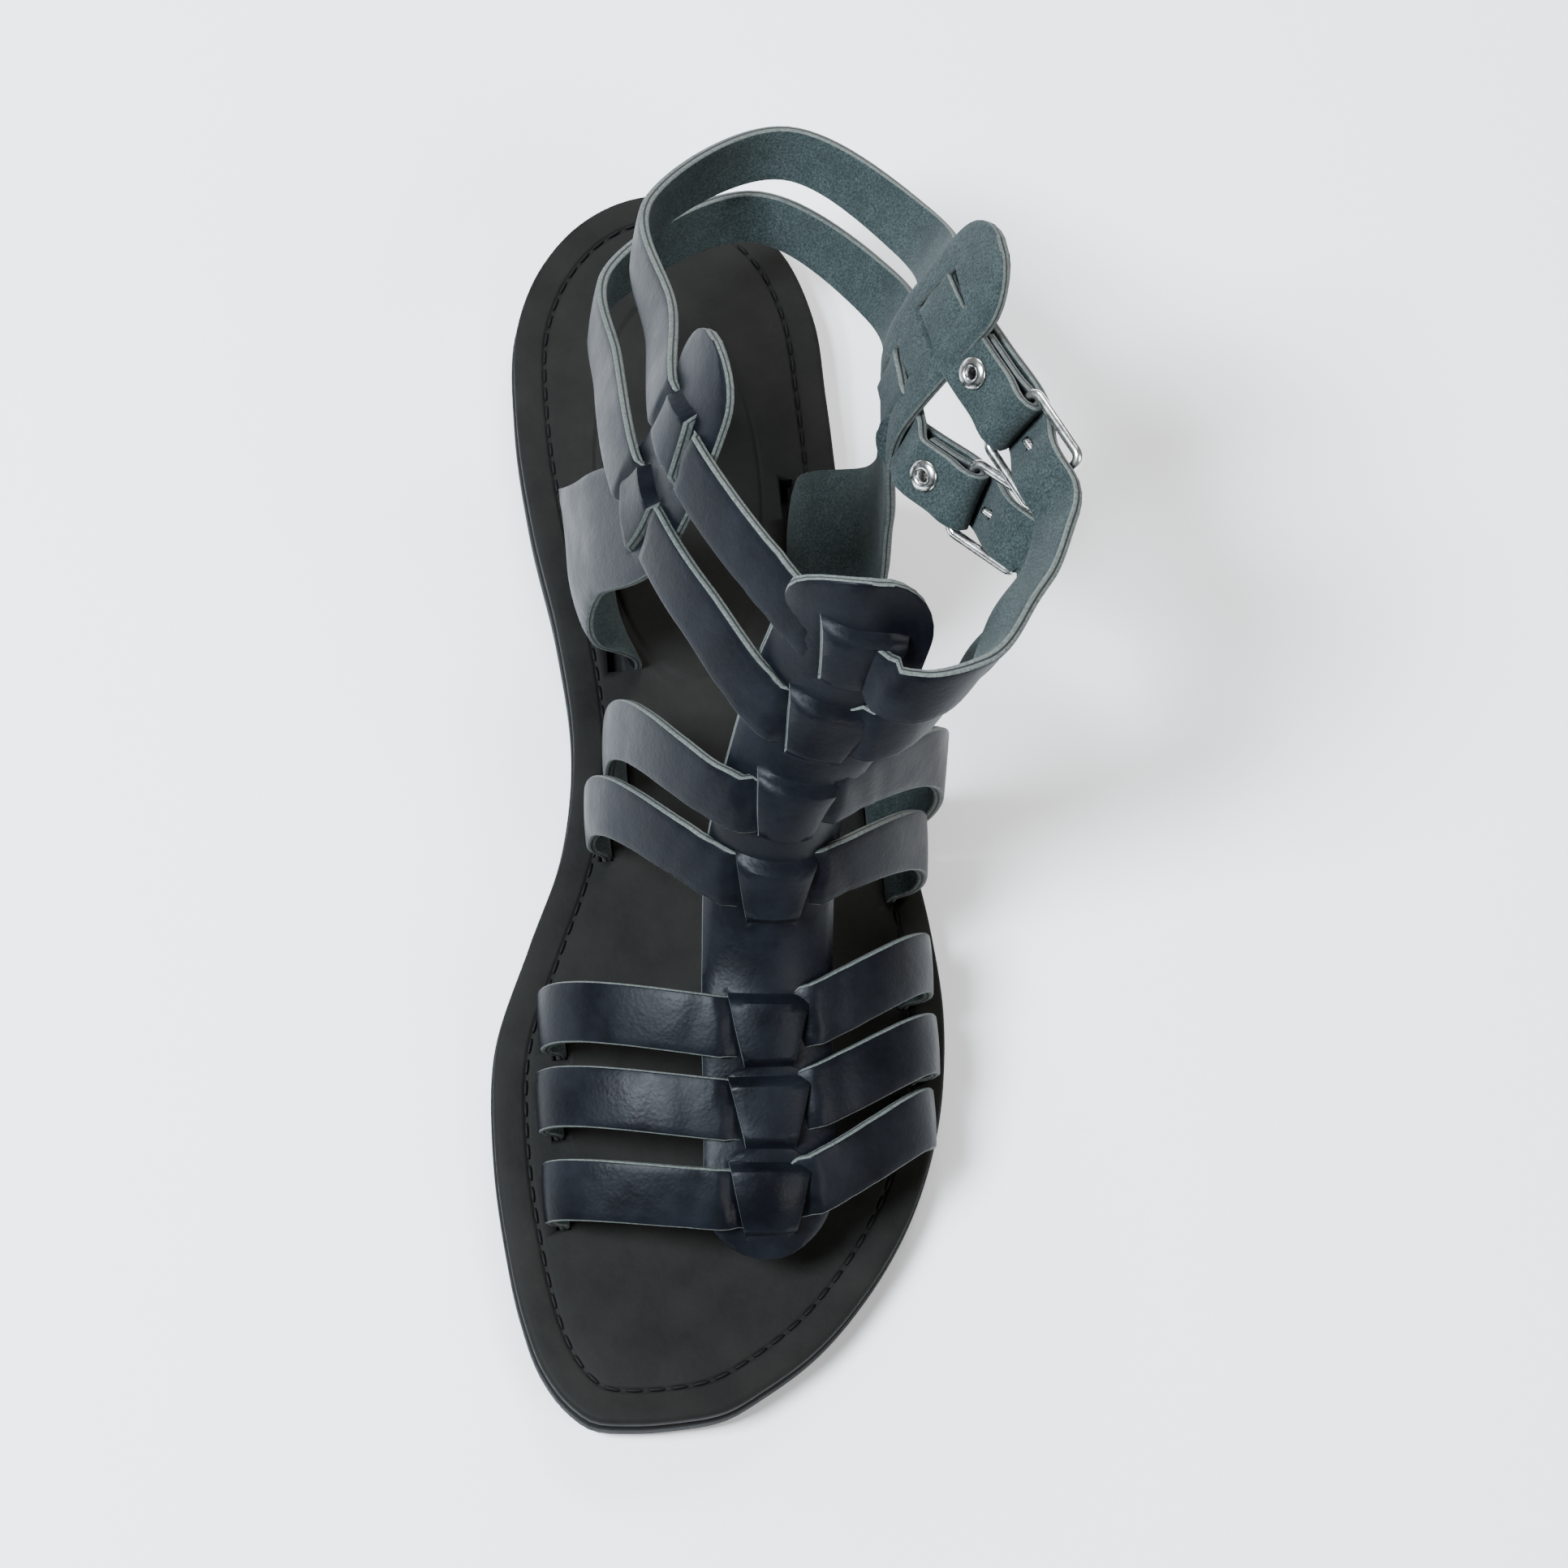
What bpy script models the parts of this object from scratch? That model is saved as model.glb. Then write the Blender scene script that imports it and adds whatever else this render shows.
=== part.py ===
# A left leather sandal: flat straps laced through a centre strap, on a flat stitched sole.
# Units are metres. +Z is up, the toe points to -Y and the outer side of the foot is +X.
# The origin is on the floor, under the middle of the sole.
import math
from collections import namedtuple

import bmesh
import bpy
import numpy as np

SOLE_LENGTH = 0.260
BALL_WIDTH = 0.0900
HEEL_WIDTH = 0.0646
OUTSOLE_THICKNESS = 0.0055
INSOLE_THICKNESS = 0.0035
EDGE_ROUND = 0.0006
INSOLE_INSET = 0.0004
TOE_SPRING = 0.0020
TOE_SPRING_START = 0.72          # share of the half length ahead of the middle
ANKLE_HEIGHT = 0.090             # footbed to the upper crossing of the centre strap
STRAP_WIDTH = 0.0115
STRAP_THICKNESS = 0.0021
SPINE_WIDTH = 0.0245
TONGUE_SHARE = 0.50              # share of the centre strap between its slits
TAB_BASE_WIDTH = 0.0380
TAB_TOP_WIDTH = 0.0230
WEAVE_RISE = 0.90                # share of the thickness by which a laced strip is raised
CLEARANCE = 0.0003
ROOT_RISE = 0.0012               # straight stretch of a strap above its slot

BUCKLE_WIRE = 0.0020
BUCKLE_REACH = 0.0080            # centre of the frame to the middle of either bar
BUCKLE_SIDE_GAP = 0.0006
BUCKLE_CORNER = 0.0018
RIVET_SHARE = 0.70               # share of the fold at which the rivet sits
RIVET_HEAD_DIAMETER = 0.0062
RIVET_HEAD_HEIGHT = 0.0007
RIVET_SHANK_DIAMETER = 0.0030
RIVET_BORE_DIAMETER = 0.0018
PRONG_DIAMETER = 0.0015
TAIL_LENGTH = 0.0240             # rear bar to the end of the free tail
TAIL_GAP = 0.0016                # free tail to the folded strap
APPROACH = 0.0018                # straight run of the strap ahead of the buckle's front bar

FOLD_LAP = 0.0010                # how far the turned end runs into the doubled strap
FOLD_SPREAD = 0.54               # share of the thickness from the fold's middle to each layer
FOLD_INSET = 0.0001              # the turned end stays this far inside the strap
FOLD_STEP = 0.0012               # stretch over which the doubled strap thins to one layer
SETTLE_LENGTH = 0.0080           # stretch over which a raised strap comes down to its buckle
LACE_FLAT = 0.45                 # shares of the strap width: half of the raised stretch
LACE_RAMP = 0.30                 # and the ramp at each of its ends
LACE_SIDE = 0.08                 # share of the half width over which a slit's side rises
RIVET_FACE = 0.8                 # share of the head's radius that is flat
RIVET_RIM = 0.3                  # share of the head's height at its rim

STATION_STEP = 0.0042
NEAREST_STATIONS = 0.0006
SIDE_TURNS = 7                   # rows put along one side of a cross strap
END_TURNS = (22, 38, 56, 76)     # degrees of a round end at which it has a station
FOLD_TURNS = range(75, 286, 30)  # degrees round the rear bar, from over it to under it
FOLD_STATIONS = 12
OUTLINE_STEPS = 3                # sections put between two rows of the outline
FOOTBED = OUTSOLE_THICKNESS + CLEARANCE + INSOLE_THICKNESS
SLOT_DEPTH_START = OUTSOLE_THICKNESS + CLEARANCE
TONGUE_WIDTH = TONGUE_SHARE * SPINE_WIDTH
WAIST_START = -0.3               # shares of the half length between which the last narrows
WAIST_END = 0.5

# Outline of the sole, toe to heel: along is a share of the half length, the other two
# are shares of the half width there.
Section = namedtuple("Section", "along inner outer")
SOLE_SECTIONS = (
    Section(-1.00, -0.49, -0.31),
    Section(-0.99, -0.66, -0.09),
    Section(-0.96, -0.76, 0.08),
    Section(-0.91, -0.85, 0.30),
    Section(-0.83, -0.92, 0.53),
    Section(-0.72, -0.97, 0.75),
    Section(-0.58, -1.00, 0.91),
    Section(-0.42, -0.97, 0.98),
    Section(-0.27, -0.81, 0.96),
    Section(-0.12, -0.66, 0.93),
    Section(0.04, -0.63, 0.95),
    Section(0.23, -0.75, 1.00),
    Section(0.42, -0.94, 1.02),
    Section(0.62, -1.01, 1.00),
    Section(0.77, -0.97, 0.96),
    Section(0.885, -0.77, 0.80),
    Section(0.955, -0.51, 0.57),
    Section(0.99, -0.25, 0.31),
    Section(1.00, -0.08, 0.14),
)

# Places over the last: across is a share of the half width there, along a share of the
# half length, up a share of the ankle height above the footbed.
Place = namedtuple("Place", "across along up")
SPINE = (
    Place(0.11, -0.785, 0.12),
    Place(0.12, -0.713, 0.20),
    Place(0.14, -0.595, 0.25),
    Place(0.15, -0.485, 0.31),
    Place(0.17, -0.390, 0.37),
    Place(0.19, -0.310, 0.47),
    Place(0.25, -0.238, 0.65),
    Place(0.37, -0.165, 0.82),
    Place(0.50, -0.112, 1.00),
    Place(0.56, -0.083, 1.09),
    Place(0.61, -0.056, 1.17),
)
SPINE_SLITS = (1, 2, 3, 5, 6, 7, 8)   # rows of the centre strap that a strap is laced through
SPINE_LEAN = 0.45                     # rise of the centre strap's inner edge at its top
SPINE_LEAN_START = 6                  # row at which that lean begins

INNER_TAB = (
    Place(-0.46, 0.315, 0.00),
    Place(-0.67, 0.285, 0.19),
    Place(-0.60, 0.254, 0.45),
    Place(-0.31, 0.205, 0.75),
    Place(-0.15, 0.250, 0.94),
    Place(0.02, 0.340, 1.11),
)
OUTER_TAB = (
    Place(0.65, 0.331, 0.00),
    Place(1.04, 0.315, 0.19),
    Place(1.10, 0.338, 0.45),
    Place(1.12, 0.390, 0.71),
    Place(1.39, 0.438, 0.91),
    Place(1.68, 0.468, 1.10),
)
TAB_SLITS = (3, 4)                    # rows of each tab: lower and upper ankle strap

# A side of a cross strap: where its end enters the insole, how far it bulges past that
# place, how late it sweeps back on its way out and how full it is, 1 for a round side.
Side = namedtuple("Side", "across along bulge sweep full")
CrossStrap = namedtuple("CrossStrap", "name row inner outer")
CROSS_STRAPS = (
    CrossStrap("toe", 1, Side(-0.79, -0.659, 0.001, 1.3, 1.0), Side(0.76, -0.581, 0.002, 1.3, 1.0)),
    CrossStrap("ball", 2, Side(-0.79, -0.524, 0.001, 1.3, 1.0), Side(0.80, -0.473, 0.002, 1.3, 1.0)),
    CrossStrap("joint", 3, Side(-0.76, -0.402, 0.001, 1.3, 1.0), Side(0.80, -0.354, 0.002, 1.3, 1.0)),
    CrossStrap("instep", 5, Side(-0.47, -0.080, 0.001, 1.2, 0.8), Side(0.80, -0.185, 0.003, 1.2, 1.0)),
    CrossStrap("arch", 6, Side(-0.38, -0.020, 0.001, 1.4, 0.7), Side(0.77, -0.090, 0.009, 1.2, 1.0)),
)

# Places along an ankle strap with the lean of its width: out to the side and back to the heel.
# buckle leads from the outer tab's slit to the middle of the buckle, run points from the front
# bar of the buckle to its rear bar, and fold is the length of strap that is doubled and riveted
# behind the rear bar.
Leaning = namedtuple("Leaning", "across along up lean_out lean_back")
Offset = namedtuple("Offset", "x y z")
AnkleStrap = namedtuple("AnkleStrap", "name spine_row tab_row buckle run outward fold back front side")
ANKLE_STRAPS = (
    AnkleStrap(
        "lower", 7, 3, Offset(0.0152, -0.0312, 0.0072), (-0.65, 0.70, -0.25), (0.75, 0.30, -0.55), 0.0110,
        (Leaning(1.21, 0.650, 0.40, 0.6, 0.4), Leaning(0.52, 0.825, 0.30, 0.1, 0.5),
         Leaning(-0.38, 0.680, 0.38, 0.1, 0.4), Leaning(-0.43, 0.480, 0.55, 0.3, 0.1)),
        (Leaning(-0.07, 0.023, 0.83, 0.4, 0.5),),
        (Leaning(0.64, -0.165, 0.83, 0.1, 0.5), Leaning(0.88, -0.118, 0.82, 0.5, 0.3),
         Leaning(1.10, -0.050, 0.82, 0.7, 0.0)),
    ),
    AnkleStrap(
        "upper", 8, 4, Offset(0.0129, -0.0309, 0.0032), (-0.42, 0.90, -0.08), (0.75, 0.20, -0.60), 0.0150,
        (Leaning(1.38, 0.690, 0.58, 0.7, 0.4), Leaning(0.70, 0.872, 0.46, 0.15, 0.55),
         Leaning(-0.14, 0.720, 0.58, 0.1, 0.35), Leaning(-0.14, 0.477, 0.77, 0.35, 0.1)),
        (Leaning(0.16, 0.039, 1.01, 0.4, 0.5),),
        (Leaning(0.70, -0.165, 1.00, 0.1, 0.5), Leaning(0.95, -0.129, 0.99, 0.5, 0.3),
         Leaning(1.18, -0.040, 0.985, 0.7, 0.0)),
    ),
)

# A strap's way through its buckle: bars is a share of the reach, the others are the shares of
# the levels under the front bar and over the folded end.
Threading = namedtuple("Threading", "bars under_bar over_fold")
THREADING = (
    Threading(-1.0, 1.00, 0.00),
    Threading(-0.5, 0.83, 0.00),
    Threading(0.6, 0.00, 0.74),
    Threading(1.0, 0.00, 1.00),
)

# Places along the prong from its heel: behind is a share of the way to the fold, ahead one of
# the reach to the front bar, beyond one of the wire and rest one of its height on the bar.
ProngRow = namedtuple("ProngRow", "behind ahead beyond rest")
PRONG_ROWS = (
    ProngRow(1.0, 0.0, 0.0, 0.00),
    ProngRow(0.4, 0.0, 0.0, 0.20),
    ProngRow(0.0, 0.4, 0.0, 0.75),
    ProngRow(0.0, 1.0, 0.0, 1.00),
    ProngRow(0.0, 1.0, 1.0, 0.90),
)

LEATHER = ((0.012, 0.015, 0.022), 0.38, 0.0)
FOOTBED_LEATHER = ((0.026, 0.026, 0.025), 0.62, 0.0)
RUBBER = ((0.018, 0.017, 0.016), 0.75, 0.0)
NICKEL = ((0.62, 0.62, 0.60), 0.28, 1.0)


def clear_scene():
    for old in list(bpy.data.objects):
        bpy.data.objects.remove(old, do_unlink=True)


def ease(share):
    share = min(1.0, max(0.0, share))
    return share * share * (3.0 - 2.0 * share)


def half_width(along):
    """Half the width of the last: the ball's ahead of the waist, the heel's behind it."""
    narrowed = ease((along - WAIST_START) / (WAIST_END - WAIST_START))
    return 0.5 * (BALL_WIDTH + (HEEL_WIDTH - BALL_WIDTH) * narrowed)


def over_last(place):
    return np.array((
        place.across * half_width(place.along),
        place.along * SOLE_LENGTH / 2,
        FOOTBED + place.up * ANKLE_HEIGHT,
    ))


def unit(vector):
    vector = np.asarray(vector, dtype=float)
    return vector / np.linalg.norm(vector)


def smooth_rows(rows, steps):
    """Points of a smooth curve through rows of any length, with steps points per gap."""
    knots = np.array(rows, dtype=float)
    gaps = np.maximum(np.linalg.norm(np.diff(knots[:, :3], axis=0), axis=1), 1e-6)
    slopes = np.diff(knots, axis=0) / gaps[:, None]
    tangents = np.empty_like(knots)
    tangents[0], tangents[-1] = slopes[0], slopes[-1]
    before, after = gaps[:-1, None], gaps[1:, None]
    tangents[1:-1] = (slopes[:-1] * after + slopes[1:] * before) / (before + after)
    points = []
    for i, gap in enumerate(gaps):
        for k in range(steps):
            t = k / steps
            start = (1 + 2 * t) * (1 - t) ** 2 * knots[i] + t * (1 - t) ** 2 * gap * tangents[i]
            end = t * t * (3 - 2 * t) * knots[i + 1] + t * t * (t - 1) * gap * tangents[i + 1]
            points.append(start + end)
    points.append(knots[-1])
    return np.array(points)


class Route:
    """A smooth route through rows of a place and the guide that a strap's width follows."""

    DENSE = 24

    def __init__(self, rows):
        self.rows = smooth_rows([(*place, *guide) for place, guide in rows], self.DENSE)
        steps = np.linalg.norm(np.diff(self.rows[:, :3], axis=0), axis=1)
        self.lengths = np.concatenate(([0.0], np.cumsum(steps)))
        self.length = self.lengths[-1]
        self.knots = self.lengths[:: self.DENSE]

    def row(self, s):
        return np.array([np.interp(s, self.lengths, column) for column in self.rows.T])

    def frame(self, s):
        """Place, direction, width direction and outward normal at length s."""
        reach = 0.0005
        low, high = max(0.0, s - reach), min(self.length, s + reach)
        direction = unit(self.row(high)[:3] - self.row(low)[:3])
        row = self.row(s)
        guide = row[3:]
        width = unit(guide - np.dot(guide, direction) * direction)
        return row[:3], direction, width, np.cross(direction, width)


def even_stations(length, extra=()):
    count = max(2, round(length / STATION_STEP))
    stations = [length * i / count for i in range(count + 1)]
    kept = [s for s in stations if all(abs(s - e) > 0.4 * STATION_STEP for e in extra)]
    return sorted(kept + list(extra))


def rounded_ends(length, radius, start, end):
    """Stations that draw a round end, which keeps a short flat at its tip."""
    shares = [1 - math.cos(math.radians(turn)) for turn in END_TURNS]
    tips = [radius * share for share in shares]
    found = list(tips) if start else [0.0]
    return found + ([length - tip for tip in tips] if end else [length])


def round_width(s, length, radius, start, end):
    """Share of the width that is left at s when an end is round."""
    reach = min(s if start else radius, length - s if end else radius, radius)
    return math.sqrt(max(0.0, 1 - (1 - reach / radius) ** 2))


def mesh_object(name, vertices, faces):
    mesh = bpy.data.meshes.new(name)
    mesh.from_pydata([tuple(v) for v in vertices], [], faces)
    mesh.update()
    made = bpy.data.objects.new(name, mesh)
    bpy.context.scene.collection.objects.link(made)
    return made


def ribbon(name, route, stations, width, thickness, columns=(-1.0, 1.0), level=None):
    """A closed strip of leather: width and thickness at s, raised outward by level at s and column."""
    outer, inner = [], []
    for s in stations:
        place, _, across, out = route.frame(s)
        for column in columns:
            rise = level(s, column) if level else 0.0
            middle = place + across * column * width(s) / 2 + out * rise
            outer.append(middle + out * thickness(s) / 2)
            inner.append(middle - out * thickness(s) / 2)
    count, rows = len(columns), len(stations)
    below = count * rows
    faces = []
    for i in range(rows - 1):
        for j in range(count - 1):
            a, b = i * count + j, (i + 1) * count + j
            faces.append((a, b, b + 1, a + 1))
            faces.append((below + a, below + a + 1, below + b + 1, below + b))
        a, b = i * count, (i + 1) * count
        faces.append((a, below + a, below + b, b))
        a, b = a + count - 1, b + count - 1
        faces.append((a, b, below + b, below + a))
    first = list(range(count))
    last = [(rows - 1) * count + j for j in range(count)]
    faces.append(first + [below + j for j in reversed(first)])
    faces.append(list(reversed(last)) + [below + j for j in last])
    return mesh_object(name, outer + inner, faces)


def constant(value):
    return lambda s: value


def hump(distance, flat, ramp):
    """1 within flat of the middle, falling smoothly to 0 over ramp."""
    return 1.0 - ease((abs(distance) - flat) / ramp)


def make_cutter(cutter):
    cutter.hide_render = True
    cutter.display_type = "WIRE"
    return cutter


def add_boolean(target, operand, operation):
    make_cutter(operand)
    modifier = target.modifiers.new(operand.name, "BOOLEAN")
    modifier.operation = operation
    modifier.solver = "EXACT"
    modifier.use_self = operation == "UNION"
    modifier.object = operand


def shells(mesh):
    """Groups of faces that hang together."""
    waiting = set(mesh.faces)
    while waiting:
        shell, edge_of_search = set(), [waiting.pop()]
        while edge_of_search:
            face = edge_of_search.pop()
            shell.add(face)
            for edge in face.edges:
                for other in edge.link_faces:
                    if other in waiting:
                        waiting.discard(other)
                        edge_of_search.append(other)
        yield shell


def signed_volume(shell):
    volume = 0.0
    for face in shell:
        first = face.verts[0].co
        for a, b in zip(face.verts[1:], face.verts[2:]):
            volume += first.dot(a.co.cross(b.co)) / 6
    return volume


def fill_voids(made):
    """Apply the modifiers and fill the small sealed voids where laced strips part and meet."""
    graph = bpy.context.evaluated_depsgraph_get()
    joined = bpy.data.meshes.new_from_object(made.evaluated_get(graph))
    work = bmesh.new()
    work.from_mesh(joined)
    for shell in list(shells(work)):
        if signed_volume(shell) < 0:
            corners = {corner for face in shell for corner in face.verts}
            bmesh.ops.delete(work, geom=list(corners), context="VERTS")
    work.to_mesh(joined)
    work.free()
    made.modifiers.clear()
    made.data = joined


def give_material(made, name, finish):
    colour, roughness, metallic = finish
    material = bpy.data.materials.new(name)
    material.use_nodes = True
    shader = material.node_tree.nodes["Principled BSDF"]
    shader.inputs["Base Color"].default_value = (*colour, 1.0)
    shader.inputs["Roughness"].default_value = roughness
    shader.inputs["Metallic"].default_value = metallic
    made.data.materials.clear()
    made.data.materials.append(material)


def sole_outline():
    """Inner and outer edge points of the sole, toe to heel."""
    rows = [(s.along * SOLE_LENGTH / 2, s.inner * half_width(s.along), s.outer * half_width(s.along))
            for s in SOLE_SECTIONS]
    points = smooth_rows(rows, OUTLINE_STEPS)
    inner = [np.array((x, y)) for y, x, _ in points]
    outer = [np.array((x, y)) for y, _, x in points]
    return inner, outer


def inset_loop(loop, distance):
    """A closed loop, counter-clockwise from above, moved inward by distance."""
    moved = []
    for i, point in enumerate(loop):
        edge = loop[(i + 1) % len(loop)] - loop[i - 1]
        edge = edge / np.linalg.norm(edge)
        moved.append(point + distance * np.array((-edge[1], edge[0])))
    return moved


def toe_lift(y):
    """Height that the toe spring adds at y."""
    start = TOE_SPRING_START * SOLE_LENGTH / 2
    reach = SOLE_LENGTH / 2 - start
    return TOE_SPRING * max(0.0, (-y - start) / reach) ** 2


def slab(name, inset, bottom, top):
    """A sole layer with rounded edges, inset from the sole's outline."""
    inner, outer = sole_outline()
    loop = list(reversed(inner)) + outer
    count = len(loop)
    levels = ((inset + EDGE_ROUND, bottom), (inset, bottom + EDGE_ROUND),
              (inset, top - EDGE_ROUND), (inset + EDGE_ROUND, top))
    vertices, faces = [], []
    for distance, height in levels:
        for x, y in inset_loop(loop, distance):
            vertices.append((x, y, height + toe_lift(y)))
    for level in range(len(levels) - 1):
        for i in range(count):
            a, b = level * count + i, level * count + (i + 1) % count
            faces.append((a, b, b + count, a + count))
    half = len(inner)
    crown = (len(levels) - 1) * count
    for i in range(half - 1):
        # inner points run heel to toe in the loop and outer points toe to heel
        a, b = half - 1 - i, half - 2 - i
        c, d = half + i + 1, half + i
        faces.append((crown + a, crown + d, crown + c, crown + b))
        faces.append((a, b, c, d))
    return mesh_object(name, vertices, faces)


def spine_route():
    rows = []
    for row, place in enumerate(SPINE):
        lean = SPINE_LEAN * ease((row - SPINE_LEAN_START) / (len(SPINE) - 1 - SPINE_LEAN_START))
        rows.append((over_last(place), (-1.0, 0.0, lean)))
    return Route(rows)


def laced_columns(width):
    """Columns that let the strip between two slits rise above its margins."""
    edge = TONGUE_WIDTH / width
    step = min(LACE_SIDE, 0.5 * (1 - edge))
    return (-1.0, -edge - step, -edge, 0.0, edge, edge + step, 1.0)


def laced_level(crossings, width):
    """Outward rise of the strip between two slits over each strap laced through it."""
    edge = TONGUE_WIDTH / width

    def level(s, column):
        if abs(column) > edge + 1e-6:
            return 0.0
        near = max(hump(s - c, STRAP_WIDTH * LACE_FLAT, STRAP_WIDTH * LACE_RAMP) for c in crossings)
        return near * WEAVE_RISE * STRAP_THICKNESS

    return level


def crossing_stations(crossings):
    foot = LACE_FLAT + 0.9 * LACE_RAMP
    marks = (-foot, -LACE_FLAT, 0.0, LACE_FLAT, foot)
    return [c + mark * STRAP_WIDTH for c in crossings for mark in marks]


def spread(stations):
    """Stations in order, without any that lie almost on another."""
    kept = []
    for s in sorted(stations):
        if not kept or s - kept[-1] > NEAREST_STATIONS:
            kept.append(s)
    return kept


def make_spine(route):
    radius = SPINE_WIDTH / 2
    crossings = [route.knots[row] for row in SPINE_SLITS]
    ends = rounded_ends(route.length, radius, True, True)
    inside = [s for s in crossing_stations(crossings) if ends[0] < s < ends[-1]]
    middle = [s for s in even_stations(route.length, inside) if radius < s < route.length - radius]
    return ribbon(
        "centre strap", route, spread(ends + inside + middle),
        lambda s: SPINE_WIDTH * round_width(s, route.length, radius, True, True),
        constant(STRAP_THICKNESS), laced_columns(SPINE_WIDTH), laced_level(crossings, SPINE_WIDTH),
    )


def side_rows(side, crown, crown_guide):
    """Rows of a cross strap from its slot in the insole up to its crown, crown left out."""
    root = over_last(Place(side.across, side.along, 0.0))
    reach = root[0] - crown[0]
    radius = reach + math.copysign(side.bulge, reach)
    last_turn = math.pi - math.asin((reach / radius) ** (1 / side.full))
    height = (crown[2] - root[2]) / (1 - math.cos(last_turn))
    slot_guide = np.array((0.0, 1.0, 0.0))
    rows = [((root[0], root[1], level), slot_guide)
            for level in (SLOT_DEPTH_START, FOOTBED, FOOTBED + ROOT_RISE)]
    for k in range(SIDE_TURNS - 1, 0, -1):
        turn = last_turn * k / SIDE_TURNS
        share = (1 - math.cos(turn)) / (1 - math.cos(last_turn))
        swept = math.sin(min(turn, math.pi / 2)) ** side.sweep
        x = crown[0] + radius * math.sin(turn) ** side.full
        y = crown[1] + (root[1] - crown[1]) * swept
        z = crown[2] - height * (1 - math.cos(turn))
        rows.append(((x, y, z), crown_guide * (1 - share) + slot_guide * share))
    return rows


def cross_route(strap, spine):
    crown, direction, _, _ = spine.frame(spine.knots[strap.row])
    inner = side_rows(strap.inner, crown, direction)
    outer = side_rows(strap.outer, crown, direction)
    return Route(inner + [(crown, direction)] + list(reversed(outer))), len(inner)


def dipped_level(crossings, flat):
    """A strap lies raised outside the margins and dips under the strip between two slits."""

    def level(s, column):
        dip = max(hump(s - c, flat, STRAP_THICKNESS) for c in crossings)
        return WEAVE_RISE * STRAP_THICKNESS * (1 - dip)

    return level


def dip_stations(crossings, flat):
    marks = (-flat - STRAP_THICKNESS, -flat, 0.0, flat, flat + STRAP_THICKNESS)
    return [c + mark for c in crossings for mark in marks]


def make_cross_strap(strap, spine):
    route, crown = cross_route(strap, spine)
    crossing = route.knots[crown]
    flat = TONGUE_WIDTH / 2
    outside = dipped_level([crossing], flat)
    rooted = FOOTBED + STRAP_WIDTH / 2

    def level(s, column):
        # the ends come back to the middle of their slots
        return outside(s, column) * ease((route.row(s)[2] - FOOTBED) / (rooted - FOOTBED))

    marks = [*route.knots[1:3], *dip_stations([crossing], flat), *route.knots[-3:-1]]
    stations = even_stations(route.length, marks)
    return ribbon(strap.name + " strap", route, stations, constant(STRAP_WIDTH),
                  constant(STRAP_THICKNESS), level=level)


def tab_route(places, heelward):
    guide = (0.0, heelward, 0.0)
    rows = [(over_last(place), guide) for place in places]
    start = rows[0][0].copy()
    start[2] = SLOT_DEPTH_START
    return Route([(start, guide), ((start[0], start[1], FOOTBED + ROOT_RISE), guide)]
                 + rows[1:])


def tab_width(s, route):
    radius = TAB_TOP_WIDTH / 2
    waist = route.knots[TAB_SLITS[0]]
    taper = ease((s - FOOTBED + SLOT_DEPTH_START) / waist)
    width = TAB_BASE_WIDTH + (TAB_TOP_WIDTH - TAB_BASE_WIDTH) * taper
    return width * round_width(s, route.length, radius, False, True)


def make_tab(name, route):
    radius = TAB_TOP_WIDTH / 2
    crossings = tab_crossings(route)
    ends = rounded_ends(route.length, radius, False, True)
    inside = [route.knots[1]] + crossing_stations(crossings)
    middle = [s for s in even_stations(route.length, inside) if s < route.length - radius]
    return ribbon(name, route, spread(ends + inside + middle), lambda s: tab_width(s, route),
                  constant(STRAP_THICKNESS), laced_columns(TAB_TOP_WIDTH),
                  laced_level(crossings, TAB_TOP_WIDTH))


def tab_crossings(route):
    # the route has one row more than the table, because its slot takes two
    return [route.knots[row + 1] for row in TAB_SLITS]


def leaning_row(row):
    return over_last(row), np.array((row.lean_out, row.lean_back, 1.0))


class BuckleSeat:
    """The place of a buckle: run points along the strap to the heel, outward away from the foot."""

    def __init__(self, strap, slit):
        self.centre = slit + np.array(strap.buckle)
        self.run = unit(strap.run)
        outward = np.array(strap.outward)
        self.outward = unit(outward - np.dot(outward, self.run) * self.run)
        self.width = np.cross(self.outward, self.run)

    def at(self, along, out, across=0.0):
        return self.centre + along * self.run + out * self.outward + across * self.width


BAR_CLEAR = BUCKLE_WIRE / 2 + CLEARANCE
FOLD_RADIUS = BAR_CLEAR + STRAP_THICKNESS / 2
FOLD_THICKNESS = 2 * STRAP_THICKNESS - FOLD_INSET
FOLD_START = BUCKLE_REACH + BAR_CLEAR + 1.4 * STRAP_THICKNESS
UNDER_BAR = -(BAR_CLEAR + STRAP_THICKNESS / 2)
OVER_FOLD = BAR_CLEAR + 1.5 * STRAP_THICKNESS + CLEARANCE
TAIL_LEVEL = FOLD_THICKNESS / 2 + TAIL_GAP + STRAP_THICKNESS / 2


def threading_rows():
    """From ahead of the buckle through it to the end of the free tail."""
    rows = [(-BUCKLE_REACH - APPROACH, UNDER_BAR)]
    rows += [(row.bars * BUCKLE_REACH, row.under_bar * UNDER_BAR + row.over_fold * OVER_FOLD)
             for row in THREADING]
    return rows + [(BUCKLE_REACH + share * TAIL_LENGTH, TAIL_LEVEL) for share in (0.5, 1.0)]


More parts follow.
